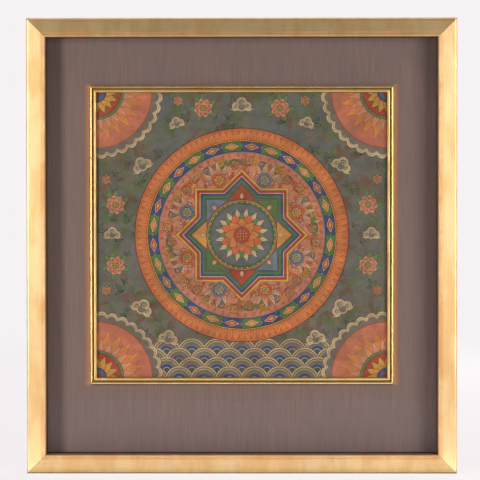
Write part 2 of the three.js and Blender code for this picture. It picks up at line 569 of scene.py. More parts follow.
@dataclass(frozen=True)
class WovenSilk:
    """Fine plain-woven silk glued over the mount: uneven upright threads, dull, with a little sheen.

    The real thread spacing of about 0.35 mm is too fine to show, so the weave is drawn at 0.9 mm.
    Beside the slip's uprights the silk is painted warm: a painted reflection of light off the gilded slip.
    """

    slip_half: float
    slip_rise: float
    slip_middle: float
    name: str = "mauve_silk"
    colour: str = "866C65"
    light: str = "91786F"
    dark: str = "755D57"
    faded: str = "7B6963"
    # Painted reflection: its colour, and how far it reaches beside the uprights and past their ends.
    stain: str = "E09C74"
    reflection_width: float = 12 * MM
    reflection_end: float = 4 * MM
    thread: float = 0.9 * MM

    def material(self) -> bpy.types.Material:
        """Builds threads, slubs, a slow cloudiness and the stain in object coordinates.

        Returns:
            The material.
        """
        material, tree = new_material(self.name)
        whole = add(tree, "ShaderNodeTexCoord").outputs["Object"]
        warp = Grain(1.3 * MM, 70 * MM, 3.0, 0.7).node(tree, whole)
        slub_space = add(tree, "ShaderNodeMapping", {"Vector": whole, "Scale": (28, 28, 700)})
        slubs = add(tree, "ShaderNodeTexNoise", {"Vector": slub_space, "Scale": 1.0, "Detail": 3.0})
        clouds = Grain(60 * MM, 90 * MM).node(tree, whole)
        colour = veiled(tree, linear(self.dark), self.light, warp, 0.32, 0.68)
        evened = {0: 0.45, 6: colour, 7: linear(self.colour)}
        colour = add(tree, "ShaderNodeMix", evened, data_type="RGBA")
        colour = veiled(tree, colour, self.dark, slubs, 0.55, 0.75, 0.0, 0.25)
        colour = veiled(tree, colour, self.faded, clouds, 0.35, 0.65, 0.0, 0.22)
        # Painted reflection of the gilded slip's light, mixed into the silk's colour.
        stained = {0: self.stained(tree, whole, warp), 6: colour, 7: linear(self.stain)}
        colour = add(tree, "ShaderNodeMix", stained, data_type="RGBA")
        threads = {0: weave(tree, whole, 2 * self.thread), 1: warp}
        height = add(tree, "ShaderNodeMath", threads, operation="ADD")
        finish_surface(tree, height, 0.35, 0.12 * MM, {
            "Base Color": colour, "Roughness": 0.72, "Sheen Weight": 0.12, "Sheen Roughness": 0.5,
            "Specular IOR Level": 0.3,
        })
        return material

    def stained(self, tree: Tree, whole: Link, warp: Link) -> bpy.types.Node:
        """The painted warm reflection beside the slip's uprights.

        Args:
            tree: The material's node tree.
            whole: Metres in the frame's own axes.
            warp: The upright threads, along which it spreads unevenly.

        Returns:
            The painted reflection's share.
        """
        axes = add(tree, "ShaderNodeSeparateXYZ", {0: whole})
        out = add(tree, "ShaderNodeMath", {0: axes.outputs[0]}, operation="ABSOLUTE")
        up = add(tree, "ShaderNodeMath", {0: axes.outputs[2], 1: self.slip_middle}, operation="SUBTRACT")
        rise = add(tree, "ShaderNodeMath", {0: up}, operation="ABSOLUTE")
        beside = add(tree, "ShaderNodeMath", {0: out, 1: self.slip_half}, operation="GREATER_THAN")
        share = masked(
            tree,
            {0: out, 1: self.slip_half, 2: self.slip_half + self.reflection_width, 3: 1.0, 4: 0.0},
            {0: rise, 1: self.slip_rise, 2: self.slip_rise + self.reflection_end, 3: 1.0, 4: 0.0},
            {0: warp, 1: 0.3, 2: 0.7, 3: 0.8},
        )
        return add(tree, "ShaderNodeMath", {0: beside, 1: share}, operation="MULTIPLY")


@dataclass(frozen=True)
class PaintedCotton:
    """Mineral pigments in glue on sized cotton: matt, rubbed, finely cracked and toned by smoke.

    The colour of each painted shape comes from the sheet's own attribute. The cotton's threads,
    about 0.5 mm apart, are drawn at 1.0 mm so that they show.
    """

    name: str = "pigments_on_cotton"
    attribute: str = "pigment"
    greened: str = "5E6E48"
    reddened: str = "8C5E48"
    thinned: str = "85705A"
    gesso: str = "B9A585"
    grime: str = "4A4038"
    soot: str = "6E5848"
    thread: float = 1.0 * MM

    def material(self) -> bpy.types.Material:
        """Builds the aged paint over the sheet's pigment attribute.

        Returns:
            The material.
        """
        material, tree = new_material(self.name)
        whole = add(tree, "ShaderNodeTexCoord").outputs["Object"]
        colour = add(tree, "ShaderNodeAttribute", attribute_name=self.attribute).outputs["Color"]
        washes = Grain(34 * MM, 26 * MM, 4.0, 0.6, 0.6).node(tree, whole)
        strokes = Grain(2.6 * MM, 1.7 * MM, 5.0, 0.7, 0.8).node(tree, whole)
        for pattern, least in ((washes, 0.78), (strokes, 0.82)):
            grey = masked(tree, {0: pattern, 1: 0.3, 2: 0.7, 3: least, 4: 1.14})
            tone = add(tree, "ShaderNodeCombineColor", {0: grey, 1: grey, 2: grey})
            washed = {0: 1.0, 6: colour, 7: tone}
            colour = add(tree, "ShaderNodeMix", washed, data_type="RGBA", blend_type="MULTIPLY")
        drift = Grain(44 * MM, 30 * MM, 4.0, 0.65, 0.8).node(tree, whole)
        thin = Grain(13 * MM, 11 * MM, 7.0, 0.72).node(tree, whole)
        smoke = Grain(70 * MM, 50 * MM, 3.0, 0.5).node(tree, whole)
        colour = veiled(tree, colour, self.greened, drift, 0.52, 0.72, 0.0, 0.3)
        colour = veiled(tree, colour, self.reddened, drift, 0.3, 0.48, 0.34, 0.0)
        colour = veiled(tree, colour, self.thinned, thin, 0.5, 0.72, 0.0, 0.42)
        threads = {0: weave(tree, whole, 2 * self.thread), 1: 0.7}
        height = add(tree, "ShaderNodeMath", threads, operation="MULTIPLY")
        height = add(tree, "ShaderNodeMath", {0: strokes, 1: 1.2, 2: height}, operation="MULTIPLY_ADD")
        for mask, share, hue, sunk in (
            (self.losses(tree, whole, thin), 0.55, self.gesso, 1.0),
            (self.cracks(tree, whole), 0.4, self.grime, 1.5),
        ):
            part = add(tree, "ShaderNodeMath", {0: mask, 1: share}, operation="MULTIPLY")
            colour = add(tree, "ShaderNodeMix", {0: part, 6: colour, 7: linear(hue)}, data_type="RGBA")
            sunken = {0: mask, 1: -sunk, 2: height}
            height = add(tree, "ShaderNodeMath", sunken, operation="MULTIPLY_ADD")
        colour = veiled(tree, colour, self.soot, smoke, 0.3, 0.7, 0.06, 0.24)
        surface = {"Base Color": colour, "Roughness": 0.82, "Specular IOR Level": 0.25}
        finish_surface(tree, height, 0.4, 0.1 * MM, surface)
        return material

    def losses(self, tree: Tree, whole: Link, thin: Link) -> bpy.types.Node:
        """Small flakes lost where the paint is thin.

        Args:
            tree: The material's node tree.
            whole: Metres in the frame's own axes.
            thin: Where the paint is thin.

        Returns:
            The losses' mask.
        """
        flakes = Grain(3.4 * MM, 2.6 * MM, 6.0, 0.75).node(tree, whole)
        return masked(tree, {0: flakes, 1: 0.66, 2: 0.71}, {0: thin, 1: 0.45, 2: 0.6})

    def cracks(self, tree: Tree, whole: Link) -> bpy.types.Node:
        """Fine level cracks from years of rolling, broken along their length.

        Args:
            tree: The material's node tree.
            whole: Metres in the frame's own axes.

        Returns:
            The cracks' mask.
        """
        mapping = add(tree, "ShaderNodeMapping", {"Vector": whole, "Scale": (38, 38, 210)})
        lines = add(tree, "ShaderNodeTexNoise", {"Vector": mapping, "Scale": 1.0, "Detail": 4.0})
        signed = add(tree, "ShaderNodeMath", {0: lines, 1: 0.5}, operation="SUBTRACT")
        offset = add(tree, "ShaderNodeMath", {0: signed}, operation="ABSOLUTE")
        broken = Grain(18 * MM, 18 * MM).node(tree, whole)
        fine = {0: offset, 1: 0.0, 2: 0.010, 3: 1.0, 4: 0.0}
        return masked(tree, fine, {0: broken, 1: 0.48, 2: 0.62})


@dataclass(frozen=True)
class PictureGlass:
    """Coated picture glass, 2 mm: it lets the lamps through and mirrors little, faintly blue."""

    name: str = "picture_glass"
    ior: float = 1.5
    tint: str = "FAFBFB"
    cast: str = "66788E"

    def material(self) -> bpy.types.Material:
        """Builds a clear pane whose front faces alone carry the reflection, by Fresnel.

        Returns:
            The material.
        """
        material, tree = new_material(self.name)
        clear = add(tree, "ShaderNodeBsdfTransparent", {"Color": linear(self.tint)})
        gloss = add(tree, "ShaderNodeBsdfGlossy", {"Color": linear(self.cast), "Roughness": 0.02})
        fresnel = add(tree, "ShaderNodeFresnel", {"IOR": self.ior})
        inside = add(tree, "ShaderNodeNewGeometry").outputs["Backfacing"]
        front = add(tree, "ShaderNodeMath", {0: 1.0, 1: inside}, operation="SUBTRACT")
        share = add(tree, "ShaderNodeMath", {0: fresnel, 1: front}, operation="MULTIPLY")
        pane = add(tree, "ShaderNodeMixShader", {0: share, 1: clear, 2: gloss})
        add(tree, "ShaderNodeOutputMaterial", {"Surface": pane})
        return material


@dataclass(frozen=True)
class StudioPaper:
    """White studio paper lit from its own side: the floor that the frame stands on.

    It glows evenly, so that it stays white round the frame, and keeps some plain white paint for
    the frame's own shadow. In mirrors alone the strip in front is painted brighter, a painted
    reflection as under a low lamp, and dims to a painted shadow at the frame's foot.
    """

    name: str = "white_paper"
    colour: str = "F2ECEE"
    glow: str = "F2EDEF"
    strength: float = 1.18
    painted: float = 0.25
    # Painted reflection: how much brighter the strip in front looks in mirrors, and how deep that strip
    # is.
    mirrored: float = 3.0
    strip: float = 0.28
    # Painted shadow: where mirrors of the paper darken towards the frame's foot.
    foot_from: float = 0.02
    foot: float = 0.048
    fade_from: float = 1.2
    fade_to: float = 2.4

    def material(self) -> bpy.types.Material:
        """Builds paper that fades out far from the object, so that no floor edge shows.

        Returns:
            The material.
        """
        material, tree = new_material(self.name)
        whole = add(tree, "ShaderNodeTexCoord").outputs["Object"]
        far = add(tree, "ShaderNodeVectorMath", {0: whole}, operation="LENGTH").outputs["Value"]
        back = add(tree, "ShaderNodeSeparateXYZ", {0: whole}).outputs[1]
        front = add(tree, "ShaderNodeMath", {0: back, 1: -1.0}, operation="MULTIPLY")
        share = masked(tree, {0: far, 1: self.fade_from, 2: self.fade_to})
        # Painted reflection: in mirrors the strip in front is brighter.
        near = masked(tree, {0: front, 1: self.strip, 2: 0.0, 4: self.mirrored})
        # Painted shadow: in mirrors the paper darkens at the frame's foot.
        foot = masked(tree, {0: front, 1: self.foot_from, 2: self.foot, 3: 1.0, 4: 0.0})
        mirror = add(tree, "ShaderNodeLightPath").outputs["Is Glossy Ray"]
        glow = {0: mirror, 1: near, 2: self.strength}
        strength = add(tree, "ShaderNodeMath", glow, operation="MULTIPLY_ADD")
        shadow = add(tree, "ShaderNodeMath", {0: mirror, 1: foot}, operation="MULTIPLY")
        lit_share = add(tree, "ShaderNodeMath", {0: 1.0, 1: shadow}, operation="SUBTRACT")
        strength = add(tree, "ShaderNodeMath", {0: strength, 1: lit_share}, operation="MULTIPLY")
        light = add(tree, "ShaderNodeEmission", {"Color": linear(self.glow), "Strength": strength})
        paint = add(tree, "ShaderNodeBsdfDiffuse", {"Color": linear(self.colour)})
        lit = add(tree, "ShaderNodeMixShader", {0: self.painted, 1: light, 2: paint})
        clear = add(tree, "ShaderNodeBsdfTransparent")
        paper = add(tree, "ShaderNodeMixShader", {0: share, 1: lit, 2: clear})
        add(tree, "ShaderNodeOutputMaterial", {"Surface": paper})
        return material


def arc(middle: Point, radii: Point, start: float, end: float, steps: int) -> list[Point]:
    """Points along part of an ellipse.

    Args:
        middle: The ellipse's middle.
        radii: Its half sizes.
        start: The first angle in radians.
        end: The last angle.
        steps: How many pieces the arc is cut into.

    Returns:
        The points, both ends included.
    """
    angles = [start + (end - start) * i / steps for i in range(steps + 1)]
    return [(middle[0] + radii[0] * math.cos(a), middle[1] + radii[1] * math.sin(a)) for a in angles]


@dataclass(frozen=True)
class RailMoulding:
    """The outer frame's section: u runs in from the outer edge and v forward from the back."""

    face: float = 28 * MM
    depth: float = 45 * MM
    rabbet_wall: float = 21 * MM
    lip_back: float = 28.2 * MM
    rounding: float = 3.5 * MM
    quirk_inset: float = 23 * MM
    quirk_width: float = 1.2 * MM
    quirk_depth: float = 0.8 * MM
    quirk_slope: float = 0.25 * MM
    bead_drop: float = 2.5 * MM
    bead_sweep: float = 0.8 * math.pi
    crown: float = 0.25 * MM
    arc_steps: int = 12
    face_steps: int = 10

    def section(self) -> list[Point]:
        """The section's outline, anticlockwise, from the middle of the hidden back.

        Returns:
            Its points as (u, v).
        """
        bead = (self.face - self.quirk_inset - self.quirk_width) / 2
        shoulder = self.depth - self.bead_drop
        floor = self.depth - self.quirk_depth
        points = [(self.rabbet_wall / 2, 0.0), (self.rabbet_wall, 0.0)]
        points += [(self.rabbet_wall, self.lip_back), (self.face, self.lip_back)]
        radii = (bead, self.bead_drop)
        points += arc((self.face - bead, shoulder), radii, 0, self.bead_sweep, self.arc_steps)
        points += [(self.quirk_inset + self.quirk_width - self.quirk_slope, floor)]
        points += [(self.quirk_inset + self.quirk_slope, floor)]
        for i in range(self.face_steps):
            share = i / self.face_steps
            u = self.quirk_inset + (self.rounding - self.quirk_inset) * share
            points.append((u, self.depth - self.crown * (2 * share - 1) ** 2))
        middle = (self.rounding, self.depth - self.rounding)
        radii = (self.rounding, self.rounding - self.crown)
        return points + arc(middle, radii, math.pi / 2, math.pi, self.arc_steps) + [(0.0, 0.0)]


@dataclass(frozen=True)
class SlipMoulding:
    """The slip's section: two ridges, a groove between them, a toe outside and a lip over the cloth."""

    face: float = 10 * MM
    back: float = 13.6 * MM
    foot: float = 4.5 * MM
    lip_back: float = 15.5 * MM
    outer_ridge: float = 3 * MM
    inner_ridge: float = 4 * MM
    sight_slope: float = 0.8 * MM
    outer_top: float = 22 * MM
    inner_top: float = 21 * MM
    groove: float = 19.4 * MM
    inner_rise: float = 1.5 * MM
    toe: float = 1.3 * MM
    arc_steps: int = 12

    def section(self) -> list[Point]:
        """The section's outline, anticlockwise, from the middle of the hidden foot.

        Returns:
            Its points as (u, v).
        """
        outer, inner = self.outer_ridge / 2, self.inner_ridge / 2
        middle = self.face - self.sight_slope - inner
        shoulder = self.inner_top - self.inner_rise
        points = [(self.foot / 2, self.back), (self.foot, self.back), (self.foot, self.lip_back)]
        points += [(self.face, self.lip_back)]
        points += arc((middle, shoulder), (inner, self.inner_rise), 0, math.pi, self.arc_steps)
        points += [(middle - inner, self.groove), (self.outer_ridge, self.groove)]
        points += arc((outer, self.outer_top - outer), (outer, outer), 0, math.pi, self.arc_steps)
        points += arc((0.0, self.back), (self.toe, self.toe), math.pi / 2, math.pi, self.arc_steps // 2)
        return points


def lengths(section: Sequence[Point]) -> list[float]:
    """Measures round an outline.

    Args:
        section: Its points.

    Returns:
        The distance from its first point to each of its points.
    """
    total, result = 0.0, [0.0]
    for a, b in zip(section, section[1:]):
        total += math.dist(a, b)
        result.append(total)
    return result


class MitreTree:
    """A Geometry Nodes tree that sweeps a section along one side of a frame and mitres its ends."""

    SIZES = (
        ("Length", "NodeSocketFloat"), ("Mitre Gap", "NodeSocketFloat"), ("Depth", "NodeSocketFloat"),
        ("Steps", "NodeSocketInt"), ("Unevenness", "NodeSocketFloat"), ("Seed", "NodeSocketFloat"),
        ("Turn", "NodeSocketFloat"), ("Place", "NodeSocketVector"),
        ("Finish", "NodeSocketMaterial"), ("Back Finish", "NodeSocketMaterial"),
    )
    SHARP = math.radians(32)
    BACKWARD = 0.9

    def __init__(self) -> None:
        """Builds the tree once, for every rail and slip."""
        self.tree = bpy.data.node_groups.new("mitred_side", "GeometryNodeTree")
        face = self.tree.interface
        face.new_socket("Section", in_out="INPUT", socket_type="NodeSocketGeometry")
        self.inputs = {
            name: face.new_socket(name, in_out="INPUT", socket_type=kind).identifier
            for name, kind in self.SIZES
        }
        face.new_socket("Side", in_out="OUTPUT", socket_type="NodeSocketGeometry")
        self.build()

    def build(self) -> None:
        """Lays out the nodes: sweep, mitre, unevenness, map, place and finish."""
        tree = self.tree
        given = add(tree, "NodeGroupInput").outputs
        path = add(tree, "GeometryNodeCurvePrimitiveLine", {"Start": (-0.5, 0, 0), "End": (0.5, 0, 0)})
        path = add(tree, "GeometryNodeResampleCurve", {"Curve": path, "Count": given["Steps"]})
        outline = add(tree, "GeometryNodeMeshToCurve", {0: given["Section"]})
        measured = add(tree, "GeometryNodeCaptureAttribute", {0: outline}, domain="POINT")
        measured.capture_items.new("FLOAT", "Across")
        tree.links.new(add(tree, "GeometryNodeSplineParameter").outputs["Length"], measured.inputs[1])
        swept = {"Curve": path, "Profile Curve": measured, "Fill Caps": True}
        shaped = self.mitred(given, add(tree, "GeometryNodeCurveToMesh", swept))
        rounded = {0: shaped, "Shade Smooth": True}
        rounded = add(tree, "GeometryNodeSetShadeSmooth", rounded, domain="FACE")
        angle = add(tree, "GeometryNodeInputMeshEdgeAngle")
        sharp = add(tree, "FunctionNodeCompare", {0: angle, 1: self.SHARP}, operation="GREATER_THAN")
        crisp = {0: rounded, "Selection": sharp, "Shade Smooth": False}
        crisp = add(tree, "GeometryNodeSetShadeSmooth", crisp, domain="EDGE")
        along = add(tree, "ShaderNodeSeparateXYZ", {0: add(tree, "GeometryNodeInputPosition")})
        pair = add(tree, "ShaderNodeCombineXYZ", {0: measured.outputs[1], 1: along})
        mapped = {"Geometry": crisp, "Name": "moulding", "Value": pair}
        kind = {"data_type": "FLOAT2", "domain": "CORNER"}
        mapped = add(tree, "GeometryNodeStoreNamedAttribute", mapped, **kind)
        turn = add(tree, "ShaderNodeCombineXYZ", {1: given["Turn"]})
        laid = {"Geometry": mapped, "Translation": given["Place"], "Rotation": turn}
        stood = add(tree, "GeometryNodeTransform", laid)
        finished = add(tree, "GeometryNodeSetMaterial", {0: stood, "Material": given["Finish"]})
        facing = add(tree, "ShaderNodeSeparateXYZ", {0: add(tree, "GeometryNodeInputNormal")}).outputs[1]
        facing = {0: facing, 1: self.BACKWARD}
        behind = add(tree, "FunctionNodeCompare", facing, operation="GREATER_THAN")
        backs = {0: finished, "Selection": behind, "Material": given["Back Finish"]}
        backed = add(tree, "GeometryNodeSetMaterial", backs)
        add(tree, "NodeGroupOutput", {0: add(tree, "GeometryNodeRealizeInstances", {0: backed})})

    def mitred(self, given: bpy.types.bpy_prop_collection, swept: Link) -> bpy.types.Node:
        """Draws each end in by the distance from the outer edge, and makes the front slightly uneven.

        Args:
            given: The tree's inputs.
            swept: The plain sweep of unit length.

        Returns:
            The shaped side.
        """
        tree = self.tree
        place = add(tree, "ShaderNodeSeparateXYZ", {0: add(tree, "GeometryNodeInputPosition")}).outputs
        half = add(tree, "ShaderNodeMath", {0: given["Length"], 1: 0.5}, operation="MULTIPLY")
        reach = add(tree, "ShaderNodeMath", {0: half, 1: place[2]}, operation="SUBTRACT")
        reach = add(tree, "ShaderNodeMath", {0: reach, 1: given["Mitre Gap"]}, operation="SUBTRACT")
        along = add(tree, "ShaderNodeMath", {0: place[0], 1: 2.0}, operation="MULTIPLY")
        along = add(tree, "ShaderNodeMath", {0: along, 1: reach}, operation="MULTIPLY")
        forward = {0: given["Depth"], 1: 0.5, 2: place[1]}
        forward = add(tree, "ShaderNodeMath", forward, operation="MULTIPLY_ADD")
        grain = add(tree, "ShaderNodeCombineXYZ", {0: along, 1: given["Seed"], 2: place[2]})
        noise = add(tree, "ShaderNodeTexNoise", {"Vector": grain, "Scale": 14.0, "Detail": 2.0})
        swing = add(tree, "ShaderNodeMath", {0: noise, 1: 0.5}, operation="SUBTRACT")
        weight = add(tree, "ShaderNodeMath", {0: place[1], 1: given["Depth"]}, operation="DIVIDE")
        push = add(tree, "ShaderNodeMath", {0: swing, 1: weight}, operation="MULTIPLY")
        push = add(tree, "ShaderNodeMath", {0: push, 1: given["Unevenness"]}, operation="MULTIPLY")
        front = add(tree, "ShaderNodeMath", {0: forward, 1: push}, operation="SUBTRACT")
        target = add(tree, "ShaderNodeCombineXYZ", {0: along, 1: front, 2: place[2]})
        return add(tree, "GeometryNodeSetPosition", {"Geometry": swept, "Position": target})

    def make(self, name: str, section: Sequence[Point], values: dict[str, object]) -> bpy.types.Object:
        """Runs the tree on one section and keeps the result as a plain mesh.

        Args:
            name: The piece's name.
            section: The moulding's outline as (u, v).
            values: What each named input is set to.

        Returns:
            The finished piece, at the origin.
        """
        count = len(section)
        start = bpy.data.meshes.new(name + "_section")
        edges = [(i, (i + 1) % count) for i in range(count)]
        start.from_pydata([(v, -u, 0.0) for u, v in section], edges, [])
        piece = bpy.data.objects.new(name, start)
        bpy.context.scene.collection.objects.link(piece)
        modifier = piece.modifiers.new("mitred_side", "NODES")
        modifier.node_group = self.tree
        for key, value in values.items():
            modifier[self.inputs[key]] = value
        graph = bpy.context.evaluated_depsgraph_get()
        graph.update()
        finished = bpy.data.meshes.new_from_object(piece.evaluated_get(graph), depsgraph=graph)
        piece.modifiers.clear()
        piece.data = finished
        finished.name = name
        bpy.data.meshes.remove(start)
        return piece


@dataclass
class MitredFrame:
    """Four mitred sides of one moulding round a rectangle, each standing for its own node."""

    prefix: str
    piece_prefix: str
    slot: str
    section: list[Point]
    width: float
    height: float
    middle: float
    depth: float
    unevenness: float
    seed: float
    gap: float = 0.3 * MM
    steps: int = 90
    pieces: list[bpy.types.Object] = field(default_factory=list)

    def build(self, tree: MitreTree, finish: bpy.types.Material, back: bpy.types.Material) -> None:
        """Makes the four sides.

        Args:
            tree: The sweep.
            finish: What the moulding shows.
            back: What its back shows.
        """
        for number, side in enumerate(Side):
            across, up = side.outward
            values = {
                "Length": self.width if across == 0 else self.height,
                "Mitre Gap": self.gap / math.sqrt(2),
                "Depth": self.depth,
                "Steps": self.steps,
                "Unevenness": self.unevenness,
                "Seed": self.seed + number,
                "Turn": side.turn,
                "Place": (across * self.width / 2, 0.0, self.middle + up * self.height / 2),
                "Finish": finish,
                "Back Finish": back,
            }
            self.pieces.append(tree.make(f"{self.piece_prefix}_{side.label}", self.section, values))

    def dress(self) -> None:
        """Ties each side to the frame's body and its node."""
        for piece, side in zip(self.pieces, Side):
            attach(piece, "root")
            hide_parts(f"{self.prefix}_{side.label}")
            LOG.info("%s: %d faces", piece.name, len(piece.data.polygons))


def lattice(low: Vector, high: Vector, pitch: float) -> tuple[np.ndarray, np.ndarray]:
    """Evenly spaced places across and up a sheet.

    Args:
        low: The sheet's lowest corner.
        high: Its highest corner.
        pitch: The wanted spacing.

    Returns:
        The places across, and the places up.
    """
    across = np.linspace(low.x, high.x, max(2, round((high.x - low.x) / pitch) + 1))
    up = np.linspace(low.z, high.z, max(2, round((high.z - low.z) / pitch) + 1))
    return across, up


def rim_edges(faces: np.ndarray) -> list[Edge]:
    """The directed edges that have a face on their left only.

    Args:
        faces: The faces' corner numbers.

    Returns:
        The edges, in order of their numbers.
    """
    corners = faces.shape[1]
    edges = np.concatenate([faces[:, [i, (i + 1) % corners]] for i in range(corners)])
    directed = {(a, b) for a, b in edges.tolist()}
    return sorted((a, b) for a, b in directed if (b, a) not in directed)


def closed_sheet(name: str, flat: np.ndarray, faces: np.ndarray, front: np.ndarray,
                 back: np.ndarray, behind: np.ndarray) -> bpy.types.Object:
    """Closes a flat mesh into a thin sheet with a front, a back and a rim.

    Args:
        name: The piece's name.
        flat: X and Z of each point.
        faces: Triangles or quads, anticlockwise as seen from the front.
        front: Y of each point's front.
        back: Y of each point's back.
        behind: The back's own faces, which may be fewer, wound like the front's.

    Returns:
        The sheet. Its front faces come first, in the order given.
    """
    count = len(flat)
    points = np.zeros((2 * count, 3))
    points[:count, 0], points[:count, 1], points[:count, 2] = flat[:, 0], front, flat[:, 1]
    points[count:, 0], points[count:, 1], points[count:, 2] = flat[:, 0], back, flat[:, 1]
    shapes = faces.tolist() + (behind[:, ::-1] + count).tolist()
    shapes += [(b, a, a + count, b + count) for a, b in rim_edges(faces)]
    used = sorted({corner for shape in shapes for corner in shape})
    number = {corner: i for i, corner in enumerate(used)}
    return mesh_piece(name, points[used], [[number[corner] for corner in shape] for shape in shapes])


@dataclass
class MountFabric:
    """The silk over the mount board: one thin stretched sheet with the board's faint unevenness."""

    node: str = "mount_fabric"
    pitch: float = 9 * MM
    swell: float = 0.12 * MM
    piece: bpy.types.Object | None = None

    def build(self, finish: WovenSilk) -> None:
        """Makes the sheet inside its node's box.

        Args:
            finish: The silk.
        """
        low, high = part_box(self.node)
        across, up = lattice(low, high, self.pitch)
        flat = np.array([(x, z) for z in up for x in across])
        wide = len(across)
        quads = [
            (j * wide + i, j * wide + i + 1, (j + 1) * wide + i + 1, (j + 1) * wide + i)
            for j in range(len(up) - 1) for i in range(wide - 1)
        ]
        wave = np.sin(flat[:, 0] / 0.041 + np.sin(flat[:, 1] / 0.07)) * np.sin(flat[:, 1] / 0.055)
        front = np.full(len(flat), low.y) + self.swell * (1 + wave)
        back = np.full(len(flat), high.y)
        faces = np.array(quads)
        self.piece = closed_sheet("mount_silk", flat, faces, front, back, faces)
        self.piece.data.shade_smooth()
        self.piece.data.materials.append(finish.material())

    def dress(self) -> None:
        low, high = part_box(self.node)
        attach(self.piece, "root")
        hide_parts(self.node)
        LOG.info("%s: %d faces", self.piece.name, len(self.piece.data.polygons))


@dataclass(frozen=True)
class Shape:
    """One lay of paint: an outline in millimetres, shaded from a near pigment to a far one."""

    points: np.ndarray
    near: Pigment
    far: Pigment
    origin: np.ndarray
    reach: float

    def moved(self, at: Point, turn: float = 0.0, size: float = 1.0, flip: bool = False) -> "Shape":
        """The same lay, sized, mirrored, turned and then moved.

        Args:
            at: Where its own zero goes.
            turn: The angle in radians, anticlockwise.
            size: How much larger it gets.
            flip: Whether it is first mirrored left to right.

        Returns:
            The new lay.
        """
        mirror = np.array([-1.0 if flip else 1.0, 1.0])
        c, s = math.cos(turn), math.sin(turn)
        spin = np.array([[c, s], [-s, c]])
        points = (self.points * mirror * size) @ spin + np.array(at)
        if flip:
            points = points[::-1]
        origin = (self.origin * mirror * size) @ spin + np.array(at)
        return Shape(points, self.near, self.far, origin, self.reach * size)


def lay(points: Iterable[Point], near: Pigment, far: Pigment | None = None,
        origin: Point = (0.0, 0.0), reach: float = 1.0) -> Shape:
    """Makes a lay of paint, flat unless a far pigment is given."""
    return Shape(np.array(list(points), float), near, far or near, np.array(origin, float), reach)


def wound(points: np.ndarray) -> np.ndarray:
    """Starts an outline at its lowest point and runs it anticlockwise, with doubled points left out.

    Args:
        points: The outline, either way round.

    Returns:
        The same outline.
    """
    apart = np.linalg.norm(points - np.roll(points, 1, axis=0), axis=1) > 0.01
    points = points[apart]
    if len(points) < 3:
        return points
    first = np.lexsort((points[:, 0], points[:, 1]))[0]
    points = np.roll(points, -first, axis=0)
    ahead, behind = points[1] - points[0], points[-1] - points[0]
    if ahead[0] * behind[1] - ahead[1] * behind[0] < 0:
        points = np.roll(points[::-1], 1, axis=0)
    return points


def inset(points: np.ndarray, distance: float) -> np.ndarray:
    """Draws an outline in, each point along its own corner's middle.

    Args:
        points: The outline, anticlockwise.
        distance: How far.

    Returns:
        The smaller outline.
    """
    before, after = np.roll(points, 1, axis=0), np.roll(points, -1, axis=0)
    sides = [after - points, points - before]
    normals = []
    for side in sides:
        length = np.linalg.norm(side, axis=1, keepdims=True)
        unit = side / np.maximum(length, 1e-9)
        normals.append(np.stack([-unit[:, 1], unit[:, 0]], axis=1))
    middle = normals[0] + normals[1]
    middle /= np.maximum(np.linalg.norm(middle, axis=1, keepdims=True), 1e-6)
    spread = np.clip((middle * normals[0]).sum(axis=1, keepdims=True), 0.45, 1.0)
    return points + middle * distance / spread


def outlined(points: Iterable[Point], near: Pigment, far: Pigment | None = None,
             origin: Point = (0.0, 0.0), reach: float = 1.0, line: float = 0.55,
             ink: Pigment = INK) -> list[Shape]:
    """A lay of paint with a drawn line round it.

    Args:
        points: The outline, anticlockwise.
        near: The pigment at the shading's origin.
        far: The pigment at its reach.
        origin: Where the shading starts.
        reach: How far it runs.
        line: The drawn line's width.
        ink: The line's pigment.

    Returns:
        The line's lay and the paint's lay over it.
    """
    edge = np.array(list(points), float)
    return [lay(edge, ink), lay(inset(edge, line), near, far, origin, reach)]


def ring_points(radius: float, steps: int, lobes: int = 0, depth: float = 0.0) -> list[Point]:
    """A circle, or one whose edge swells into round lobes.

    Args:
        radius: Its radius in the dips.
        steps: How many points it has.
        lobes: How many lobes it has.
        depth: How far a lobe stands out.

    Returns:
        Its points, anticlockwise.
    """
    points = []
    for i in range(steps):
        angle = 2 * math.pi * i / steps
        out = radius + depth * abs(math.sin(lobes * angle / 2)) ** 0.7 if lobes else radius
        points.append((out * math.cos(angle), out * math.sin(angle)))
    return points


def petal_points(length: float, width: float, tip: float = 1.0, steps: int = 9) -> list[Point]:
    """A petal that stands up from the origin, with a full belly and a drawn-out tip.

    Args:
        length: From its root to its tip.
        width: Across its belly.
        tip: How pointed it is; under one it is rounder.
        steps: How many points each side has.

    Returns:
        Its points, anticlockwise.
    """
    right = []
    for i in range(1, steps):
        t = i / steps
        belly = math.sin(math.pi * t ** 0.85) ** (0.75 + 0.35 * tip * t)
        right.append((0.5 * width * belly, length * t))
    left = [(-x, y) for x, y in reversed(right)]
    return [(0.0, 0.0), *right, (0.0, length), *left]


def leaf_points(length: float, width: float, bend: float, steps: int = 8) -> list[Point]:
    """A leaf that stands up from the origin and bends to one side.

    Args:
        length: From its root to its tip.
        width: Across its middle.
        bend: How far its tip leans, as a share of its length.
        steps: How many points each side has.

    Returns:
        Its points, anticlockwise.
    """
    right, left = [], []
    for i in range(1, steps):
        t = i / steps
        half = 0.5 * width * math.sin(math.pi * t) ** 0.8
        lean = bend * length * t * t
        right.append((lean + half, length * t))
        left.append((lean - half, length * t))
    return [(0.0, 0.0), *right, (bend * length, length), *reversed(left)]


def stroke(path: Sequence[Point], widths: Sequence[float], pigment: Pigment) -> Shape:
    """A brush stroke along a path.

    Args:
        path: Its middle line.
        widths: Its width at each point.
        pigment: Its pigment.

    Returns:
        The stroke.
    """
    line = np.array(path, float)
    along = np.gradient(line, axis=0)
    along /= np.maximum(np.linalg.norm(along, axis=1, keepdims=True), 1e-9)
    side = np.stack([along[:, 1], -along[:, 0]], axis=1)
    half = np.array(widths, float)[:, None] / 2
    return Shape(
        np.concatenate([line + side * half, (line - side * half)[::-1]]),
        pigment, pigment, np.zeros(2), 1.0,
    )


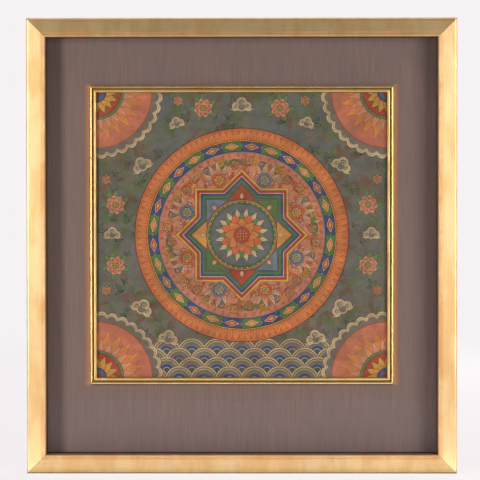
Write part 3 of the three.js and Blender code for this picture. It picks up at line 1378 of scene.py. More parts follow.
def curl(size: float, width: float, pigment: Pigment, turns: float = 1.15, steps: int = 18) -> Shape:
    """A tapering spiral stroke that starts at the origin and winds in.

    Args:
        size: The spiral's outer radius.
        width: The stroke's width where it starts.
        pigment: Its pigment.
        turns: How often it winds.
        steps: How many pieces it has.

    Returns:
        The stroke.
    """
    path, widths = [], []
    for i in range(steps + 1):
        t = i / steps
        radius = size * (1 - 0.78 * t)
        angle = -math.pi / 2 + 2 * math.pi * turns * t
        path.append((radius * math.cos(angle), size + radius * math.sin(angle)))
        widths.append(width * (1 - 0.65 * t))
    return stroke(path, widths, pigment)


def polar(radius: float, angle: float) -> Point:
    """A place by its distance from the middle and its angle."""
    return radius * math.cos(angle), radius * math.sin(angle)


def sector_points(inner: float, outer: float, start: float, end: float, steps: int) -> list[Point]:
    """A piece of a ring, anticlockwise."""
    far = arc((0, 0), (outer, outer), start, end, steps)
    return far + arc((0, 0), (inner, inner), end, start, steps)


def placed(shapes: Iterable[Shape], at: Point, turn: float = 0.0, size: float = 1.0,
           flip: bool = False) -> list[Shape]:
    """The same lays, moved together."""
    return [shape.moved(at, turn, size, flip) for shape in shapes]


def around(shapes: Iterable[Shape], count: int, radius: float = 0.0, offset: float = 0.0,
           turn: float = -math.pi / 2) -> list[Shape]:
    """The same lays again and again round a circle.

    Args:
        shapes: The lays.
        count: How many times.
        radius: The circle's radius.
        offset: Where the first one stands, as a share of a step.
        turn: How each is turned from its own angle; as given, its own up points outwards.

    Returns:
        All of them, anticlockwise from the right.
    """
    made = []
    for i in range(count):
        angle = 2 * math.pi * (i + offset) / count
        made += placed(shapes, polar(radius, angle), angle + turn)
    return made


def lotus_petal(length: float, width: float, root: Pigment, tip: Pigment,
                heart: Pigment | None = None, point: float = 1.0,
                ink: Pigment = INK) -> list[Shape]:
    """A drawn petal, shaded to its tip, with a paler heart and a fine middle line.

    Args:
        length: From its root to its tip.
        width: Across its belly.
        root: Its pigment at the root.
        tip: Its pigment at the tip.
        heart: The inner petal's pigment, if it has one.
        point: How pointed it is.
        ink: The drawn line's pigment.

    Returns:
        Its lays, from the lowest up.
    """
    shapes = outlined(petal_points(length, width, point), root, tip, (0, 0), length * 0.85, ink=ink)
    if heart:
        inner = petal_points(length * 0.62, width * 0.5, point, 6)
        shapes += placed([lay(inner, heart, tip, (0, 0), length * 0.6)], (0, length * 0.12))
    vein = [(0.0, length * 0.12), (0.0, length * 0.45), (0.0, length * 0.8)]
    shapes.append(stroke(vein, (0.7, 0.5, 0.2), RUST))
    return shapes


def blossom(radius: float, petals: int, outer: Pigment, edge: Pigment, inner: Pigment,
            heart: Pigment, seeds: Pigment) -> list[Shape]:
    """A peony seen from above: two rings of round petals about a seeded heart.

    Args:
        radius: To the tips of its outer petals.
        petals: How many each ring has.
        outer: The outer petals' pigment at the root.
        edge: Their pigment at the rim.
        inner: The inner petals' pigment.
        heart: The middle's pigment.
        seeds: The seeds' pigment.

    Returns:
        Its lays, from the lowest up.
    """
    shapes = []
    step = 2 * math.pi / petals
    for reach, root, offset in ((radius, outer, 0.0), (radius * 0.68, inner, 0.5)):
        width = reach * 2 * math.sin(step / 2) * 1.12
        petal = outlined(petal_points(reach, width, 0.1, 7), root, edge, (0, 0), reach, 0.5)
        fold = [(-width * 0.22, reach * 0.62), (0.0, reach * 0.72), (width * 0.22, reach * 0.62)]
        petal.append(stroke(fold, (0.2, 0.6, 0.2), root))
        shapes += around(petal, petals, 0.0, offset, 0.0)
    shapes += outlined(ring_points(radius * 0.3, 16), heart, line=0.5)
    for i in range(petals):
        at = polar(radius * 0.16, i * step)
        shapes.append(lay(ring_points(radius * 0.055, 6), seeds).moved(at))
    return shapes


def leaf(length: float, width: float, bend: float, root: Pigment, tip: Pigment,
         ink: Pigment = INK) -> list[Shape]:
    """A drawn leaf with a middle vein.

    Args:
        length: From its root to its tip.
        width: Across its middle.
        bend: How far its tip leans, as a share of its length.
        root: Its pigment at the root.
        tip: Its pigment at the tip.
        ink: The drawn line's pigment.

    Returns:
        Its lays, from the lowest up.
    """
    shapes = outlined(leaf_points(length, width, bend), root, tip, (0, 0), length, 0.45, ink)
    path = [(bend * length * t * t, length * t) for t in (0.1, 0.35, 0.6, 0.85)]
    vein = TEAL if ink is INK else ink
    shapes.append(stroke(path, (0.6, 0.5, 0.35, 0.15), vein))
    return shapes


def cloud(size: float, rim: Pigment, inside: Pigment) -> list[Shape]:
    """A trefoil cloud: three curled lobes with a pale double rim and trailing ends.

    Args:
        size: About half its width.
        rim: The rim's pigment.
        inside: The pigment inside.

    Returns:
        Its lays, from the lowest up.
    """
    shapes = []
    lobes = ((-0.62, 0.05, 0.52), (0.62, 0.05, 0.52), (0.0, 0.5, 0.62))
    body = ring_points(size * 0.55, 20)
    rims = ((BROWN, 0.09), (rim, 0.0), (OLIVE, -0.13), (rim, -0.17), (inside, -0.27))
    for pigment, grow in rims:
        for x, y, r in lobes:
            shapes.append(lay(ring_points(size * (r + grow), 18), pigment).moved((x * size, y * size)))
        shapes.append(lay(body, pigment).moved((0, 0), 0.0, 1 + grow))
    tail = [(0.5 + 0.225 * k, -0.34 - 0.1 * math.sin(1.25 * k)) for k in range(5)]
    widths = [size * w for w in (0.2, 0.17, 0.13, 0.08, 0.02)]
    for sign in (-1, 1):
        shapes.append(stroke([(sign * size * x, size * y) for x, y in tail], widths, rim))
    for x, y, r in lobes:
        shapes += placed([curl(size * r * 0.4, size * 0.09, rim)], (x * size, (y - 0.28) * size))
    return shapes


@dataclass
class MandalaArtwork:
    """A generic lotus mandala: rings, bands, a star and sprigs, all laid out from a few radii.

    Every size is in millimetres about the sheet's middle.
    """

    half_width: float
    half_height: float
    lotus_outer: float = 161.0
    lotus_inner: float = 144.0
    lotus_petals: int = 104
    band_outer: float = 141.4
    band_inner: float = 127.0
    band_cells: int = 28
    field_radius: float = 124.6
    vine_radius: float = 110.0
    vine_swing: float = 5.0
    vine_turns: int = 16
    star_reach: float = 100.0
    heart_radius: float = 54.0
    fan_radius: float = 96.0
    seed: int = 7
    shapes: list[Shape] = field(default_factory=list)

    def paint(self) -> list[Shape]:
        """Lays every part, from the ground up.

        Returns:
            The lays in that order.
        """
        self.ground()
        self.waves()
        self.drifting_clouds()
        self.corner_fans()
        self.sprigs()
        self.lotus_ring()
        self.lozenge_band()
        self.vine_field()
        self.star()
        self.heart_lotus()
        return self.shapes

    def ground(self) -> None:
        """The grey-green ground, bluer at the top, with small plants scattered on it."""
        w, h = self.half_width, self.half_height
        whole = [(-w, -h), (w, -h), (w, h), (-w, h)]
        self.shapes.append(lay(whole, GROUND, SLATE, (0, -1.4 * h), 2.6 * h))
        chance = random.Random(self.seed)
        for _ in range(250):
            at = (chance.uniform(-w, w), chance.uniform(-h + 40, h))
            turn = chance.uniform(-math.pi, math.pi)
            for spread in (-0.9, 0.0, 0.9):
                length, width = chance.uniform(16, 30), chance.uniform(7, 11)
                blade = leaf_points(length, width, chance.uniform(-0.3, 0.3))
                hue = chance.choice((MOSS, MOSS, SLATE, BROWN))
                wash = lay(blade, hue, GROUND, (0, 0), 34)
                self.shapes.append(wash.moved(at, turn + spread))
        for _ in range(160):
            at = (chance.uniform(-w + 6, w - 6), chance.uniform(-h + 40, h - 6))
            turn = chance.uniform(-1.2, 1.2)
            size = chance.uniform(0.8, 1.9)
            tuft = leaf(9, 3.4, 0.25, GREEN, SLATE)
            tuft += placed(leaf(7, 3.0, -0.3, TEAL, GROUND), (0, 0), 0.7)
            tuft += placed(leaf(7, 3.0, 0.3, LEAF, GROUND), (0, 0), -0.8)
            self.shapes += placed(tuft, at, turn, size)

    def waves(self) -> None:
        """Rows of scale waves along the foot, each scale a set of arcs."""
        rim = ((22.0, BROWN), (21.3, CREAM), (19.6, OLIVE), (18.0, BROWN),
               (17.4, CREAM), (16.4, OLIVE), (11.5, PALE), (10.6, BLUE),
               (6.2, CREAM), (5.4, TEAL))
        for row, height in enumerate((-178.0, -192.0, -206.0, -220.0)):
            offset = 19.0 * (row % 2)
            for k in range(-4, 5):
                middle = (38.0 * k + offset, height)
                for radius, pigment in rim:
                    far = GROUND if pigment is OLIVE else pigment
                    disc = lay(ring_points(radius, 26), pigment, far, (0, 22), 22)
                    self.shapes.append(disc.moved(middle))

    def drifting_clouds(self) -> None:
        """Small clouds in the gaps between the medallion and the corners."""
        for x, z, size, turn in (
            (-150, 104, 13, 0.5), (150, 104, 13, -0.5), (-152, -112, 14, -0.5), (152, -112, 14, 0.5),
            (-196, 0, 11, 0.0), (196, 0, 11, 0.0), (0, 194, 13, 0.0), (-98, 168, 10, 0.3),
            (98, 168, 10, -0.3), (-112, -158, 13, -0.2), (112, -158, 13, 0.2),
        ):
            self.shapes += placed(cloud(size, CREAM, GROUND), (x, z), turn)

    def corner_fans(self) -> None:
        """A quarter lotus fan in each corner, in a scalloped cloud rim."""
        fan = self.fan()
        corner = (self.half_width - 4.0, self.half_height - 4.0)
        for x, z, turn in ((1, 1, math.pi), (-1, 1, -math.pi / 2), (-1, -1, 0.0), (1, -1, math.pi / 2)):
            self.shapes += placed(fan, (x * corner[0], z * corner[1]), turn)

    def fan(self) -> list[Shape]:
        """The quarter fan about its corner, opening up and to the right.

        Returns:
            Its lays, from the lowest up.
        """
        r = self.fan_radius
        shapes = []
        for pigment, grow in ((BROWN, 1.0), (CREAM, 0.0), (OLIVE, -2.6),
                              (CREAM, -3.4), (GROUND, -5.2)):
            shapes.append(lay(ring_points(r + grow, 144, 36, 5.0), pigment))
        disc = ring_points(r - 11, 96)
        shapes += outlined(disc, ORANGE, ROSE, (0, 0), r - 20, 1.0, RED)
        ink = RUST
        rings = outlined(ring_points(42, 64), GREEN, LEAF, (0, 0), 60, 0.8)
        rings += outlined(ring_points(38, 64), RUST, RED, (0, 0), 44, 0.8)
        for motif, count, first, step in (
            (lotus_petal(r - 20, 20, RED, AMBER, ORANGE, ink=ink), 7, -90.0, 15.0),
            (lotus_petal(r - 35, 14, RED, PINK, ROSE, ink=ink), 6, -82.5, 15.0),
            (rings, 1, 0.0, 0.0),
            (lotus_petal(35, 13.5, ORANGE, YELLOW, AMBER), 5, -90.0, 22.5),
        ):
            for i in range(count):
                shapes += placed(motif, (0, 0), math.radians(first + step * i))
        shapes += outlined(ring_points(16, 32), PALE, BLUE, (0, 0), 16, 0.7)
        return shapes + outlined(ring_points(8, 20), RED, line=0.6)

    def sprigs(self) -> None:
        """Peonies with leaves round the medallion, large ones and small ones."""
        hues = (RED, PINK, ORANGE, GREEN, YELLOW)
        large = ((-191, 46, 0.2), (191, 46, -0.2), (-191, -46, 0.5), (191, -46, -0.5),
                 (-58, 192, 0.3), (58, 192, -0.3))
        small = ((-205, 84, 0), (205, 84, 0), (-205, -84, 0), (205, -84, 0), (-96, 203, 0), (96, 203, 0))
        for flower, blade, spreads, flipped_from, places in (
            (blossom(15.5, 8, *hues), leaf(23, 9.5, 0.18, GREEN, LEAF),
             (0.5, 1.5, 2.6, 3.7, 4.8, 5.9), 3.0, large),
            (blossom(8.0, 6, *hues), leaf(14, 6, 0.2, TEAL, LEAF),
             (0.9, 2.4, 4.2, 5.6), math.inf, small),
        ):
            for x, z, turn in places:
                for spread in spreads:
                    self.shapes += placed(blade, (x, z), turn + spread, 1.0, spread > flipped_from)
                self.shapes += placed(flower, (x, z), turn)

    def lotus_ring(self) -> None:
        """The outer ring of narrow orange lotus petals."""
        outer, inner = self.lotus_outer, self.lotus_inner
        self.shapes += outlined(ring_points(outer + 1.2, 180), ORANGE, line=1.1)
        step = 2 * math.pi / self.lotus_petals
        width = outer * step * 1.08
        length = outer - inner + 4
        under = lotus_petal(length, width * 0.8, RUST, ORANGE, ink=RUST)
        hues = (ORANGE, AMBER, ORANGE)
        over = lotus_petal(length, width, *hues, ink=RUST)
        for petal, offset in ((under, 0.5), (over, 0.0)):
            self.shapes += around(petal, self.lotus_petals, inner - 4, offset)
        self.shapes += outlined(ring_points(inner, 160), YELLOW, line=0.7)
        self.shapes.append(lay(ring_points(inner - 1.9, 160), INK))

    def lozenge_band(self) -> None:
        """The band of blue and green cells, a warm lozenge in each."""
        outer, inner, count = self.band_outer, self.band_inner, self.band_cells
        step = 2 * math.pi / count
        middle, half = (outer + inner) / 2, (outer - inner) / 2
        for i in range(count):
            start, angle = i * step, (i + 0.5) * step
            cool, warm = ((BLUE, RED), (GREEN, ORANGE))[i % 2]
            cell = sector_points(inner, outer, start, start + step, 5)
            self.shapes += outlined(cell, cool, line=0.4)
            wide = middle * step * 0.40
            gem = [(0, -half * 0.78), (wide, 0), (0, half * 0.78), (-wide, 0)]
            gem_shapes = outlined(gem, CREAM, line=0.35)
            gem_shapes.append(lay(inset(np.array(gem, float), 1.25), warm))
            gem_shapes.append(lay(inset(np.array(gem, float), 3.1), YELLOW))
            for sign in (-1, 1):
                far = sign * wide * 1.22 + 1.6
                tip = [(sign * wide * 1.12, 0), (far, 2.6), (far, -2.6)]
                if sign > 0:
                    tip = tip[::-1]
                gem_shapes.append(lay(tip, PALE if i % 2 == 0 else LEAF))
            self.shapes += placed(gem_shapes, polar(middle, angle), angle - math.pi / 2)
        self.shapes.append(lay(ring_points(inner, 150), INK))
        self.shapes.append(lay(ring_points(inner - 0.7, 150), PALE))
        self.shapes.append(lay(ring_points(inner - 1.9, 150), RUST))

    def vine_field(self) -> None:
        """The pink field: three rows of scrolling leaves, then the vine over them."""
        radius = self.field_radius
        field_disc = ring_points(radius, 150)
        self.shapes.append(lay(field_disc, PINK, ROSE, (0, 0), radius * 1.25))
        scrolls = (
            (RUST, ORANGE), (ROSE, CREAM),
            (RED, ROSE), (AMBER, YELLOW),
        )
        for row, (at, many, size) in enumerate(((97.0, 52, 24.0), (88.0, 40, 20.0), (111.0, 64, 13.0))):
            for i in range(many):
                angle = 2 * math.pi * (i + 0.5 * row) / many
                near, far = scrolls[(i + row) % 4]
                blade = leaf(size, size * 0.3, 0.4 if i % 2 else -0.4, near, far, RUST)
                self.shapes += placed(blade, polar(at, angle), angle + (-1) ** i * 0.9)
        self.vine()
        for i in range(4 * self.vine_turns):
            angle = (i + 0.5) * math.pi / 2 / self.vine_turns
            tendril = [curl(2.6, 1.3, RED if i % 2 else RUST)]
            at = polar(radius - 1.5, angle)
            self.shapes += placed(tendril, at, angle + math.pi / 2, 1.0, i % 2 == 0)
        self.bosses()

    def vine(self) -> None:
        """The running vine, with two leaves and a small flower in every bend."""
        count, step = self.vine_turns, 2 * math.pi / self.vine_turns
        hues = (
            (CREAM, RED, YELLOW),
            (RED, YELLOW, ORANGE),
            (CREAM, PALE, RED),
            (YELLOW, ORANGE, CREAM),
        )
        for i in range(count):
            start = i * step
            swings = [self.vine_swing * math.sin(math.pi * k / 5) for k in range(11)]
            path = [
                polar(self.vine_radius + swing, start + step * k / 10) for k, swing in enumerate(swings)
            ]
            self.shapes.append(stroke(path, [1.5] * 11, RUST))
            for phase, side in ((0.25, -1), (0.75, 1)):
                angle = start + step * phase
                root = polar(self.vine_radius - self.vine_swing * side, angle)
                for lean in (-1, 1):
                    tones = (RUST, ORANGE) if lean > 0 else (RED, YELLOW)
                    if i % 4 == 0:
                        tones = (GREEN, LEAF)
                    blade = leaf(15, 6.0, 0.3 * lean, *tones)
                    self.shapes += placed(blade, root, angle - side * math.pi / 2 + lean * 1.15)
                root_hue, edge_hue, inner_hue = hues[(2 * i + (side > 0)) % 4]
                flower = blossom(7.6, 5, root_hue, edge_hue, inner_hue, GREEN, CREAM)
                at = polar(self.vine_radius + side * 3.4, angle)
                self.shapes += placed(flower, at, angle)

    def bosses(self) -> None:
        """A lotus boss with fronds in each notch of the star, on the pink field."""
        notch = self.star_reach * math.cos(math.pi / 4) / math.cos(math.pi / 8)
        colours = (
            (RED, ORANGE, YELLOW),
            (BLUE, PALE, YELLOW),
        )
        for k in range(8):
            angle = (k + 0.5) * math.pi / 4
            at = polar(notch + 13, angle)
            outer, edge, inner = colours[k % 2]
            for lean in (-1.75, -1.15, -0.55, 0.55, 1.15, 1.75):
                bend = math.copysign(0.35, lean)
                frond = leaf(30 - 5 * abs(lean), 8.5, bend, RED, CREAM)
                self.shapes += placed(frond, at, angle - math.pi / 2 + lean)
            for lean in (-1, 1):
                scroll = [curl(4.4, 2.0, RED)]
                tip = polar(notch + 11, angle + lean * 0.14)
                self.shapes += placed(scroll, tip, angle - math.pi / 2, 1.0, lean > 0)
            boss = blossom(12.5, 7, outer, edge, inner, GREEN, CREAM)
            self.shapes += placed(boss, at, angle)

    def star(self) -> None:
        """Two crossed squares as one eight-pointed star, edged with stripes."""
        stripes = (
            (self.star_reach + 0.9, INK), (self.star_reach, YELLOW),
            (self.star_reach - 4.4, INK), (self.star_reach - 5.2, RED),
            (self.star_reach - 10.0, CREAM), (self.star_reach - 11.6, BLUE),
            (self.star_reach - 16.6, GREEN), (self.star_reach - 21.0, INK),
            (self.star_reach - 21.9, SLATE),
        )
        for reach, pigment in stripes:
            for turn in (0.0, math.pi / 4):
                square = [polar(reach, turn + math.pi / 2 * k) for k in range(4)]
                self.shapes.append(lay(square, pigment))
        kites = (
            (YELLOW, AMBER), (MOSS, GREEN),
            (RED, RUST), (SLATE, PALE),
        )
        inner = self.star_reach - 23.5
        notch = inner * math.cos(math.pi / 4) / math.cos(math.pi / 8)
        for k in range(8):
            angle = k * math.pi / 4
            near, far = kites[k % 4]
            feet = [polar(notch - 1.5, angle + lean * math.pi / 8) for lean in (-1, 1)]
            kite = [feet[0], polar(inner, angle), feet[1]]
            self.shapes += outlined(kite, near, far, polar(notch, angle), inner - notch, 0.6)
            hue = CREAM if k % 2 == 0 else PINK
            bud = outlined(petal_points(10, 6.5, 1.2, 6), hue, line=0.4)
            self.shapes += placed(bud, polar(notch - 4.5, angle), angle - math.pi / 2)

    def heart_lotus(self) -> None:
        """The double lotus in the middle, in a halo of rings."""
        r = self.heart_radius
        self.shapes += outlined(ring_points(r, 96), AMBER, ORANGE, (0, 0), r, 0.8)
        self.shapes.append(lay(ring_points(r - 2.4, 96), GREEN))
        for i in range(36):
            at = polar(r - 4.2, 2 * math.pi * i / 36)
            self.shapes.append(lay(ring_points(0.9, 7), CREAM).moved(at))
        self.shapes += outlined(ring_points(r - 6.0, 90), PALE, SLATE, (0, 0), r - 8, 0.8)
        rings = (
            (16, r - 11.5, 14.0, 0.5, ROSE, CREAM, PINK),
            (16, r - 16.0, 12.5, 0.0, GREEN, LEAF, None),
            (8, r - 20.0, 20.0, 0.5, RED, ORANGE, ROSE),
            (8, r - 27.0, 17.0, 0.0, RUST, AMBER, RED),
        )
        for count, length, width, offset, root, tip, heart in rings:
            petal = lotus_petal(length, width, root, tip, heart)
            self.shapes += around(petal, count, 0.0, offset, 0.0)
        self.shapes += outlined(ring_points(12.0, 36), RED, RUST, (0, 0), 12, 0.7)
        for ring, many in ((6.6, 8), (3.2, 4)):
            for i in range(many):
                at = polar(ring, 2 * math.pi * (i + 0.5) / many)
                self.shapes += placed(outlined(ring_points(1.35, 8), YELLOW, line=0.3), at)


@dataclass
class Drawing:
    """A flat drawing as triangles: its points in millimetres, and the lay of paint on each triangle."""

    points: np.ndarray
    faces: np.ndarray
    owners: np.ndarray

    def borders(self) -> dict[Edge, Edge]:
        """The edges between two lays or at the rim.

        Returns:
            Each edge once, with the lays on its left and right, or -1 off the sheet.
        """
        edges = np.concatenate([self.faces[:, [i, (i + 1) % 3]] for i in range(3)])
        left = dict(zip(map(tuple, edges.tolist()), np.tile(self.owners, 3).tolist()))
        pairs = {(a, b): (owner, left.get((b, a), -1)) for (a, b), owner in left.items()}
        return {edge: pair for edge, pair in pairs.items() if pair[0] > pair[1]}

    def straightened(self, slack: float) -> dict[Edge, Edge]:
        """The borders without the points that they pass through almost straight.

        Args:
            slack: How far off the straight line such a point may lie.

        Returns:
            The borders that are left, with the lays on their left and right.
        """
        borders = self.borders()
        links: dict[int, list[int]] = {}
        for a, b in borders:
            links.setdefault(a, []).append(b)
            links.setdefault(b, []).append(a)
        for at, ends in links.items():
            if len(ends) != 2:
                continue
            a, b = ends if (ends[0], at) in borders else ends[::-1]
            line, off = self.points[b] - self.points[a], self.points[at] - self.points[a]
            height = abs(line[0] * off[1] - line[1] * off[0]) / max(math.hypot(*line), 1e-9)
            between = 0 < line @ off < line @ line
            if height > slack or not between or (a, b) in borders or (b, a) in borders:
                continue
            borders[(a, b)] = borders.pop((a, at))
            del borders[(at, b)]
            links[a][links[a].index(at)] = b
            links[b][links[b].index(at)] = a
            links[at] = []
        return borders

    def redrawn(self, slack: float, grid: Sequence[Point]) -> "Drawing":
        """The same drawing with only its visible borders cut, and with a grid of points to bend at.

        Args:
            slack: How far a border may move.
            grid: Places that become points.

        Returns:
            The leaner drawing.
        """
        borders = self.straightened(slack)
        used = sorted({end for edge in borders for end in edge})
        number = {end: i for i, end in enumerate(used)}
        places = [Vector(p) for p in self.points[used]] + [Vector(p) for p in grid]
        edges = [(number[a], number[b]) for a, b in borders]
        made, lines, faces, _, origins, _ = delaunay_2d_cdt(places, edges, [], 0, CUT_SLACK, True)
        pairs = list(borders.values())
        known = {}
        for (a, b), origin in zip(lines, origins):
            if origin:
                p, q = edges[origin[0]]
                same = (made[b] - made[a]).dot(places[q] - places[p]) > 0
                left, right = pairs[origin[0]] if same else pairs[origin[0]][::-1]
                known[(a, b)], known[(b, a)] = left, right
        return Drawing(np.array([tuple(p) for p in made]), np.array(faces), flooded(faces, known))


def flooded(faces: Sequence[Sequence[int]], known: dict[Edge, int]) -> np.ndarray:
    """Spreads each lay from its borders over the triangles that they enclose.

    Args:
        faces: The triangles.
        known: The lay on the left of each directed border edge.

    Returns:
        The lay on each triangle.
    """
    sides = [[(a, b), (b, c), (c, a)] for a, b, c in faces]
    beside = {edge: i for i, edges in enumerate(sides) for edge in edges}
    owners = [max(known.get(edge, -1) for edge in edges) for edges in sides]
    queue = [i for i, owner in enumerate(owners) if owner >= 0]
    while queue:
        at = queue.pop()
        for a, b in sides[at]:
            other = beside.get((b, a))
            if (a, b) not in known and other is not None and owners[other] < 0:
                owners[other] = owners[at]
                queue.append(other)
    return np.maximum(owners, 0)


@dataclass
class PaintedCloth:
    """The painted cotton: one stretched sheet, cut along its painted shapes, with soft cockles.

    Each wave is its share of the height, its lengths across and up in metres, and its phase.
    """

    node: str = "painted_cloth"
    cockle_height: float = 0.8 * MM
    cockle_margin: float = 30 * MM
    pitch: float = 10 * MM
    slack: float = 0.04 * MM
    thickness: float = 1.5 * MM
    bare: str = "B8A582"
    waves: tuple[tuple[float, float, float, float], ...] = (
        (0.28, 0.295, 1.3, 0.4),
        (0.22, -0.9, 0.38, 1.3),
    )
    piece: bpy.types.Object | None = None

    def build(self, finish: PaintedCotton) -> None:
        """Cuts the sheet along the artwork, raises the cockles and lays the pigments.

        Args:
            finish: The aged paint.
        """
        low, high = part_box(self.node)
        middle = (low + high) / 2
        half_width, half_height = (high.x - low.x) / 2, (high.z - low.z) / 2
        artwork = MandalaArtwork(half_width / MM, half_height / MM)
        shapes = [self.clipped(s, half_width / MM, half_height / MM) for s in artwork.paint()]
        shapes = [s for s in shapes if len(s.points) >= 3]
        grid = self.grid(half_width / MM, half_height / MM)
        drawing = self.cut(shapes, grid)
        flat = drawing.points * MM
        rise = self.cockle(flat[:, 0], flat[:, 1], half_width, half_height)
        back = high.y - rise
        front = back - self.thickness
        flat[:, 0] += middle.x
        flat[:, 1] += middle.z
        behind = self.behind(drawing, grid)
        self.piece = closed_sheet("painted_cotton", flat, drawing.faces, front, back, behind)
        self.piece.data.shade_smooth()
        self.colour(shapes, drawing, finish.attribute)
        self.piece.data.materials.append(finish.material())
        LOG.info("%s: %d lays of paint", self.piece.name, len(shapes))

    def cockle(self, x: np.ndarray, z: np.ndarray, half_width: float, half_height: float) -> np.ndarray:
        """How far the cloth stands off its mount, as in its solid.

        Args:
            x: Places across, from the middle.
            z: Places up, from the middle.
            half_width: Half the sheet's width.
            half_height: Half its height.

        Returns:
            The height at each place.
        """
        near_side = np.minimum(1, (half_width - np.abs(x)) / self.cockle_margin)
        near_end = np.minimum(1, (half_height - np.abs(z)) / self.cockle_margin)
        wave = np.zeros(len(x))
        for share, across, up, phase in self.waves:
            wave += share * (1 + np.sin(2 * math.pi * (x / across + z / up) + phase))
        return self.cockle_height * wave * np.maximum(near_side, 0) * np.maximum(near_end, 0)

    def clipped(self, shape: Shape, half_width: float, half_height: float) -> Shape:
        """The part of a lay that is on the sheet.

        Args:
            shape: The lay.
            half_width: Half the sheet's width in millimetres.
            half_height: Half its height.

        Returns:
            The lay with its outline cut off at the edges.
        """
        points = [tuple(p) for p in shape.points]
        edges = ((0, half_width, 1), (0, half_width, -1), (1, half_height, 1), (1, half_height, -1))
        for axis, limit, sign in edges:
            kept = []
            for a, b in zip(points, points[1:] + points[:1]):
                inside_a, inside_b = sign * a[axis] <= limit, sign * b[axis] <= limit
                if inside_a:
                    kept.append(a)
                if inside_a != inside_b:
                    t = (sign * limit - a[axis]) / (b[axis] - a[axis])
                    kept.append((a[0] + t * (b[0] - a[0]), a[1] + t * (b[1] - a[1])))
            points = kept
            if not points:
                break
        return replace(shape, points=wound(np.array(points, float).reshape(-1, 2)))

    def grid(self, half_width: float, half_height: float) -> list[Point]:
        """Evenly spaced points where the sheet bends over its cockles.

        Args:
            half_width: Half the sheet's width in millimetres.
            half_height: Half its height.

        Returns:
            The points in millimetres.
        """
        pitch = self.pitch / MM
        return [
            (x, z) for x in np.arange(-half_width + pitch, half_width - pitch / 2, pitch)
            for z in np.arange(-half_height + pitch, half_height - pitch / 2, pitch)
        ]

    def cut(self, shapes: list[Shape], grid: Sequence[Point]) -> Drawing:
        """Triangulates the sheet so that every painted edge that shows is an edge of the mesh.

        Args:
            shapes: The lays, from the ground up.
            grid: The points where the sheet bends.

        Returns:
            The triangles with the topmost lay on each. Lays that look the same count as one.
        """
        points: list[Vector] = []
        outlines: list[list[int]] = []
        looks: dict[tuple, int] = {}
        alike = []
        for shape in shapes:
            start = len(points)
            points += [Vector(p) for p in shape.points]
            outlines.append(list(range(start, len(points))))
            shaded = (*shape.origin, shape.reach) if shape.near is not shape.far else ()
            alike.append(looks.setdefault((shape.near, shape.far, *shaded), len(alike)))
        made, _, faces, _, _, sources = delaunay_2d_cdt(points, [], outlines, 1, CUT_SLACK, True)
        owners = np.array([alike[max(s)] for s in sources])
        whole = Drawing(np.array([tuple(p) for p in made]), np.array(faces), owners)
        return whole.redrawn(self.slack / MM, grid)

    def behind(self, drawing: Drawing, grid: Sequence[Point]) -> np.ndarray:
        """The plain back: triangles over the drawing's own rim points and grid points.

        Args:
            drawing: The front.
            grid: The points where the sheet bends.

        Returns:
            The back's triangles, by the front's point numbers.
        """
        at = {tuple(np.float32(p)): i for i, p in enumerate(drawing.points)}
        kept = sorted({end for edge in rim_edges(drawing.faces) for end in edge})
        kept += [at[tuple(np.float32(p))] for p in grid if tuple(np.float32(p)) in at]
        places = [Vector(p) for p in drawing.points[kept]]
        _, _, faces, origins, _, _ = delaunay_2d_cdt(places, [], [], 0, CUT_SLACK, True)
        number = np.array([kept[origin[0]] for origin in origins])
        return number[np.array(faces)]

    def colour(self, shapes: list[Shape], drawing: Drawing, attribute: str) -> None:
        """Writes each front corner's pigment to the sheet, and bare cotton elsewhere.

        Args:
            shapes: The lays.
            drawing: The front triangles and the lay on each.
            attribute: The colour attribute's name.
        """
        owners = drawing.owners
        near = np.array([linear(s.near.value) for s in shapes])
        far = np.array([linear(s.far.value) for s in shapes])
        origin = np.array([s.origin for s in shapes])
        reach = np.array([s.reach for s in shapes])
        away = np.linalg.norm(drawing.points[drawing.faces] - origin[owners][:, None, :], axis=2)
        share = np.clip(away / reach[owners][:, None], 0, 1)[..., None]
        tones = near[owners][:, None, :] * (1 - share) + far[owners][:, None, :] * share
        mesh = self.piece.data
        layer = mesh.color_attributes.new(attribute, "FLOAT_COLOR", "CORNER")
        colours = np.tile(np.array(linear(self.bare)), (len(mesh.loops), 1))
        colours[:tones.shape[0] * 3] = tones.reshape(-1, 4)
        layer.data.foreach_set("color", colours.astype(np.float32).ravel())

    def dress(self) -> None:
        low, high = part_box(self.node)
        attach(self.piece, "root")
        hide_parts(self.node)
        LOG.info("%s: %d faces", self.piece.name, len(self.piece.data.polygons))


@dataclass
class CarriedOver:
    """The nodes whose solids keep their shape: the glass, the board and the spacers."""

    glass: PictureGlass = PictureGlass()
    board: Hardboard = Hardboard()
    spacer: StainedWood = StainedWood()

    def dress(self) -> None:
        """Gives each of these solids its finish."""
        finishes = {"glazing": self.glass.material(), "mount_board": self.board.material()}
        wood = self.spacer.material()
        finishes.update({f"spacer_{side.label}": wood for side in Side})
        for name, finish in finishes.items():
            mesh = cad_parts[name].data
            mesh.materials.clear()
            mesh.materials.append(finish)
            LOG.info("%s: %s", name, finish.name)


